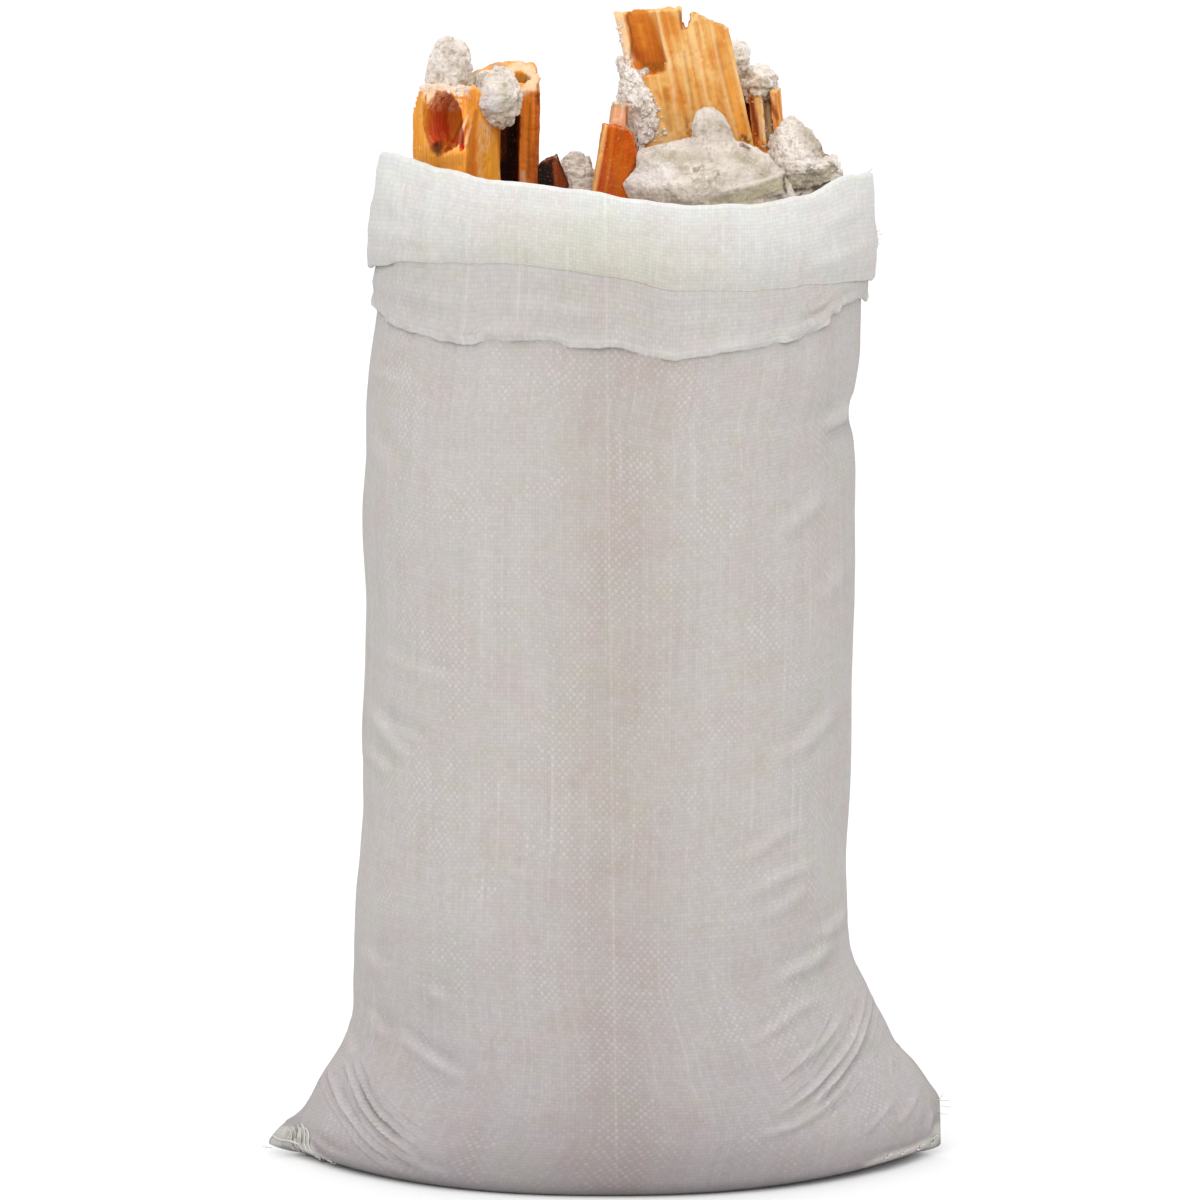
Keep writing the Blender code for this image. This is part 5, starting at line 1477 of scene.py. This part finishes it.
def worn_brick(node, seed):
    """Wears a brick: edges crumbled in places, broken ends rough, its long faces nearly smooth."""
    obj, points, edges, normals = fine_copy(node, BRICK_VOXEL)
    mesh = obj.data
    soft = relaxed(points, edges, 8)
    inward = ((soft - points) * -normals).sum(-1)
    # How deep in a hollow each point lies, where the clay gets painted shade
    hollow_shade = smooth_step(0.35, 0.85, relaxed(hidden_share(node, points, normals)[:, None], edges, 3)[:, 0])
    own_up = np.array(Euler([math.radians(a) for a in CLAYS[node].turn]).to_matrix())[:, 2]
    broken = smooth_step(0.25, 0.55, np.abs(normals @ own_up))
    patchy = smooth_step(-0.1, 0.6, rough_noise(points, 0.020, seed, 3))
    crumbled = np.where(inward > 0, 0.35 + 1.2 * patchy, 0.10)
    relief = 0.00022 * rough_noise(points, 0.009, seed + 10, 3)
    relief += broken * 0.0011 * billow(points, 0.0085, seed + 20)
    relief -= 0.0006 * smooth_step(0.35, 0.75, noise(points, 0.0045, seed + 30))
    relief += painted(node, mesh, points, normals)
    worn = points + (soft - points) * crumbled[:, None] + normals * relief[:, None]
    move_points(mesh, worn + swelling(node, points))
    add_weights(mesh, "edge", smooth_step(0.0003, 0.0010, inward) * (1 - hollow_shade))
    # Painted shade in the hollows of the worn surface
    add_weights(mesh, "recess_shade", smooth_step(0.0002, 0.0008, -inward))
    add_weights(mesh, "broken", broken * (1 - hollow_shade))
    add_weights(mesh, "hollow_shade", hollow_shade)
    return obj


def rough_lump(node, seed, voxel, rough):
    """Roughens a lump of mortar: rounded knobs with valleys between them, grains and a few pits."""
    obj, points, edges, normals = fine_copy(node, voxel)
    mesh = obj.data
    soft = relaxed(points, edges, 10)
    relief = rough.knobs * billow(points, rough.knob_size, seed)
    relief += rough.grains * rough_noise(points, 0.0032, seed + 10, 2)
    pit = smooth_step(0.42, 0.70, noise(points, rough.knob_size * 0.6, seed + 20))
    relief -= rough.knobs * 0.5 * pit
    relief += painted(node, mesh, points, normals)
    moved = soft + (points - soft) * rough.kept + normals * relief[:, None] + swelling(node, points)
    move_points(mesh, moved)
    inward = ((relaxed(moved, edges, 6) - moved) * -normals).sum(-1)
    add_weights(mesh, "edge", smooth_step(0.0002, 0.0010, inward))
    # Painted shade in the hollows of the rough surface
    add_weights(mesh, "recess_shade", smooth_step(0.0002, 0.0010, -inward))
    add_weights(mesh, "pit", pit)
    return obj


def dress(obj, name, material, node=None):
    """Names a piece, gives it its material and ties it to the frame."""
    obj.name = name
    obj.data.materials.clear()
    obj.data.materials.append(material)
    obj.data.polygons.foreach_set("use_smooth", np.ones(len(obj.data.polygons), bool))
    if node:
        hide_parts(node)
    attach(obj, BODY)
    return obj


def bricks():
    pieces = []
    for i, (node, name, slot) in enumerate((
        ("hollow_brick_front_left", "worn_brick_front_left", "fired_clay"),
        ("hollow_brick_back_left", "worn_brick_back_left", "fired_clay"),
        ("hollow_brick_back_right", "worn_brick_back_right", "fired_clay"),
        ("grooved_brick_large", "worn_brick_large", "fired_clay"),
        ("brick_shard_tilted", "worn_shard_tilted", "fired_clay"),
        ("brick_shard_dark", "worn_shard_dark", "dark_clay"),
        ("brick_nub", "worn_nub", "pale_clay"),
    )):
        material = clay_material("clay_of_" + name, CLAYS[node], 3.0 * i)
        pieces.append(dress(worn_brick(node, 60 + i), name, material, node))
    return pieces


def lumps_of_mortar(mortar):
    pieces = []
    for i, (node, name) in enumerate((
        ("mortar_bed_on_large_brick", "mortar_bed"),
        ("mortar_lump_left_top", "mortar_left_top"),
        ("mortar_lump_left_middle", "mortar_left_middle"),
        ("mortar_lump_middle", "mortar_middle"),
        ("mortar_lump_right_back", "mortar_right_back"),
        ("mortar_slab_right", "mortar_slab"),
    )):
        lump = rough_lump(node, 80 + 5 * i, MORTAR_VOXEL, ROUGH_MORTAR)
        pieces.append(dress(lump, name, mortar, node))
    plaster = cement_material("cream_plaster", PLASTER, 4.0)
    lump = rough_lump("plaster_lump_front", 130, BRICK_VOXEL, ROUGH_PLASTER)
    return pieces + [dress(lump, "plaster_lump", plaster, "plaster_lump_front")]


def heap(mortar):
    """The rubble inside the sack: rough on top, and drawn in from the cloth below."""
    obj = rough_lump("rubble_fill", 150, HEAP_VOXEL, ROUGH_HEAP)
    points = mesh_array(obj.data, "co")
    clear_of_cloth = 1 - smooth_step(0.70, 0.75, points[:, 2])
    near_floor = smooth_step(0.18, 0.03, points[:, 2])
    points[:, :2] *= (1 - HEAP_GAP * clear_of_cloth - HEAP_FOOT_GAP * near_floor)[:, None]
    points[:, 2] = np.maximum(points[:, 2], HEAP_LOWEST)
    move_points(obj.data, points)
    return dress(obj, "rubble_heap", mortar, "rubble_fill")


# Crumbs


def nearest_hit(trees, start, direction):
    """The first thing that a ray meets: its place, its normal and which of the pieces it is."""
    best, found = math.inf, None
    for i, tree in enumerate(trees):
        place, normal, _, distance = tree.ray_cast(start, direction)
        if place is not None and distance < best:
            best, found = distance, (np.array(place), np.array(normal), i)
    return found


def broken_bit(chance, ball):
    """The points of one bit: a ball of uneven shape with a few flat breaks."""
    points = ball * chance.uniform(0.65, 1.25, 3)
    for _ in range(5):
        away = unit(chance.normal(size=3))
        past = np.maximum(points @ away - chance.uniform(0.35, 0.75), 0.0)
        points = points - past[:, None] * away
    return points


def gathered_bits(name, spots, material):
    """One piece from many bits, each given by its middle and its radius."""
    bm = bmesh.new()
    bmesh.ops.create_icosphere(bm, subdivisions=2, radius=1.0)
    ball = np.array([v.co for v in bm.verts])
    triangles = np.array([[v.index for v in f.verts] for f in bm.faces])
    bm.free()
    chance = np.random.default_rng(len(spots))
    points = np.concatenate([broken_bit(chance, ball) * radius + middle for middle, radius in spots])
    faces = np.concatenate([triangles + i * len(ball) for i in range(len(spots))])
    return dress(mesh_object(name, points, faces), name, material)


def some_radius(chance, radii):
    """A radius between two, more often a small one."""
    return radii[0] + (radii[1] - radii[0]) * chance.random() ** 2


def camera_spots(groups, trees, seed):
    """Where crumbs lie on what the camera sees."""
    chance = np.random.default_rng(seed)
    spots = []
    for group in groups:
        for _ in range(group.count):
            px, py = chance.normal(group.place, np.array(group.spread) * 0.6)
            hit = nearest_hit(trees, *sight_line(px, py))
            radius = some_radius(chance, group.radii)
            if hit is not None and hit[0][2] < CRUMB_LIMIT:
                spots.append((hit[0] + hit[1] * radius * 0.15, radius))
    return spots


def heap_spots(trees, seed):
    """Where bits lie on top of the heap, which is the last tree, between the larger pieces."""
    chance = np.random.default_rng(seed)
    spots = []
    for _ in range(HEAP_BITS):
        turn, out = chance.uniform(0, 2 * math.pi), math.sqrt(chance.random())
        x, y = HEAP_HALF[0] * out * math.cos(turn), HEAP_HALF[1] * out * math.sin(turn)
        radius = some_radius(chance, HEAP_RADII)
        hit = nearest_hit(trees, Vector((x, y, DROP_HEIGHT)), Vector((0.0, 0.0, -1.0)))
        if hit is not None and hit[2] == len(trees) - 1:
            hit[0][2] = min(hit[0][2], HEAP_LIMIT - radius)
            spots.append((hit[0], radius))
    return spots


def crumbs(pieces, mortar, clay):
    """Crumbs of mortar and clay on the pieces that the camera sees, and larger bits all over the heap."""
    graph = bpy.context.evaluated_depsgraph_get()
    trees = [BVHTree.FromObject(piece, graph) for piece in pieces]
    bits = heap_spots(trees, 7)
    gathered_bits("mortar_crumbs", camera_spots(MORTAR_CRUMBS, trees, 5) + bits[::2], mortar)
    gathered_bits("clay_crumbs", camera_spots(CLAY_CRUMBS, trees, 6) + bits[1::2], clay)


def rubble():
    mortar = cement_material("cement_mortar", MORTAR)
    pieces = bricks() + lumps_of_mortar(mortar) + [heap(mortar)]
    bpy.context.view_layer.update()
    crumbs(pieces, mortar, pieces[0].data.materials[0])


# Threads, floor and light


def thin_tube(route, radius):
    """Points and quads of a thin round strand along a route."""
    ahead = unit(np.gradient(route, axis=0))
    one = unit(np.cross(ahead, (0.3, 0.9, 0.2)))
    other = np.cross(ahead, one)
    turns = 2 * np.pi * np.arange(STRAND_SIDES) / STRAND_SIDES
    ring = np.cos(turns)[None, :, None] * one[:, None] + np.sin(turns)[None, :, None] * other[:, None]
    points = route[:, None] + radius * ring
    return points.reshape(-1, 3), ring_faces(len(route), STRAND_SIDES)


def strands(name, routes, radius, thread):
    """One piece of thin round strands along these routes."""
    tubes = [thin_tube(route, radius) for route in routes]
    starts = np.cumsum([0] + [len(points) for points, _ in tubes])
    points = np.concatenate([points for points, _ in tubes])
    faces = np.concatenate([quads + start for (_, quads), start in zip(tubes, starts)])
    dress(mesh_object(name, points, faces), name, thread)


def fray_routes():
    """Loose fibres and loops of thread at the cuff and at the two sewn corners."""
    chance = np.random.default_rng(3)
    t = np.linspace(0, 1, 14)[:, None]
    routes = []
    for (px, py), reach in FRAYS:
        curl = chance.uniform(-1, 1, 3) * 0.0014
        routes.append(seen_from(px, py, 0.0) + np.array(reach) * t + curl * np.sin(t * math.pi * 1.3))
    return routes


def stitch_routes(sack):
    """Loops of sewing thread that lie across the hem of the two ears."""
    tree = BVHTree.FromObject(sack, bpy.context.evaluated_depsgraph_get())
    routes = []
    for start, end in np.array(STITCHES):
        route = []
        for t in np.linspace(0, 1, 12):
            px, py = start + (end - start) * t
            hit = nearest_hit([tree], *sight_line(px + STITCH_BEND * math.sin(2 * math.pi * t), py))
            if hit is not None:
                route.append(hit[0] + hit[1] * STITCH_RADIUS * (0.2 + 0.9 * math.sin(math.pi * t)))
        if len(route) > 3:
            route = np.array(route)
            route[:, 2] = np.maximum(route[:, 2], 1.2 * STITCH_RADIUS)
            routes.append(route)
    return routes


def threads(sack):
    thread = thread_material()
    for side in ("left", "right"):
        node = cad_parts["seam_thread_" + side]
        node.data.materials.clear()
        node.data.materials.append(thread)
    strands("frayed_threads", fray_routes(), FRAY_RADIUS, thread)
    strands("hem_stitches", stitch_routes(sack), STITCH_RADIUS, thread)


def make_floor():
    bm = bmesh.new()
    bmesh.ops.create_circle(bm, cap_ends=True, segments=96, radius=FLOOR_RADIUS)
    mesh = bpy.data.meshes.new("floor")
    bm.to_mesh(mesh)
    bm.free()
    floor = bpy.data.objects.new("floor", mesh)
    bpy.context.scene.collection.objects.link(floor)
    recipe = Recipe("pale_floor", roughness=1.0, specular=0.0)
    mesh.materials.append(recipe.finish((FLOOR_WHITE,) * 3))


def make_light():
    """A studio tent, brighter overhead than at the horizon, with one soft lamp above the front."""
    world = bpy.data.worlds.new("studio")
    world.use_nodes = True
    tree = world.node_tree
    place = tree.nodes.new("ShaderNodeTexCoord")
    split = tree.nodes.new("ShaderNodeSeparateXYZ")
    square = tree.nodes.new("ShaderNodeMath")
    square.operation = "MULTIPLY"
    glow = tree.nodes.new("ShaderNodeMath")
    glow.operation = "MULTIPLY_ADD"
    glow.inputs[1].default_value = TENT_OVERHEAD
    glow.inputs[2].default_value = TENT_HORIZON
    shader = tree.nodes["Background"]
    shader.inputs["Color"].default_value = (1.0, 1.0, 1.0, 1.0)
    for source, target in (
        (place.outputs["Generated"], split.inputs[0]),
        (split.outputs[2], square.inputs[0]),
        (split.outputs[2], square.inputs[1]),
        (square.outputs[0], glow.inputs[0]),
        (glow.outputs[0], shader.inputs["Strength"]),
    ):
        tree.links.new(source, target)
    bpy.context.scene.world = world
    bpy.context.scene.view_settings.view_transform = "Standard"
    data = bpy.data.lights.new("soft_lamp", "AREA")
    data.shape = "DISK"
    data.size = LAMP_SIZE
    data.energy = LAMP_POWER
    lamp = bpy.data.objects.new("soft_lamp", data)
    lamp.location = LAMP_PLACE
    lamp.rotation_euler = (Vector(LAMP_TARGET) - lamp.location).to_track_quat("-Z", "Y").to_euler()
    bpy.context.scene.collection.objects.link(lamp)


def main():
    make_camera()
    sack = woven_sack()
    rubble()
    threads(sack)
    make_floor()
    make_light()


main()
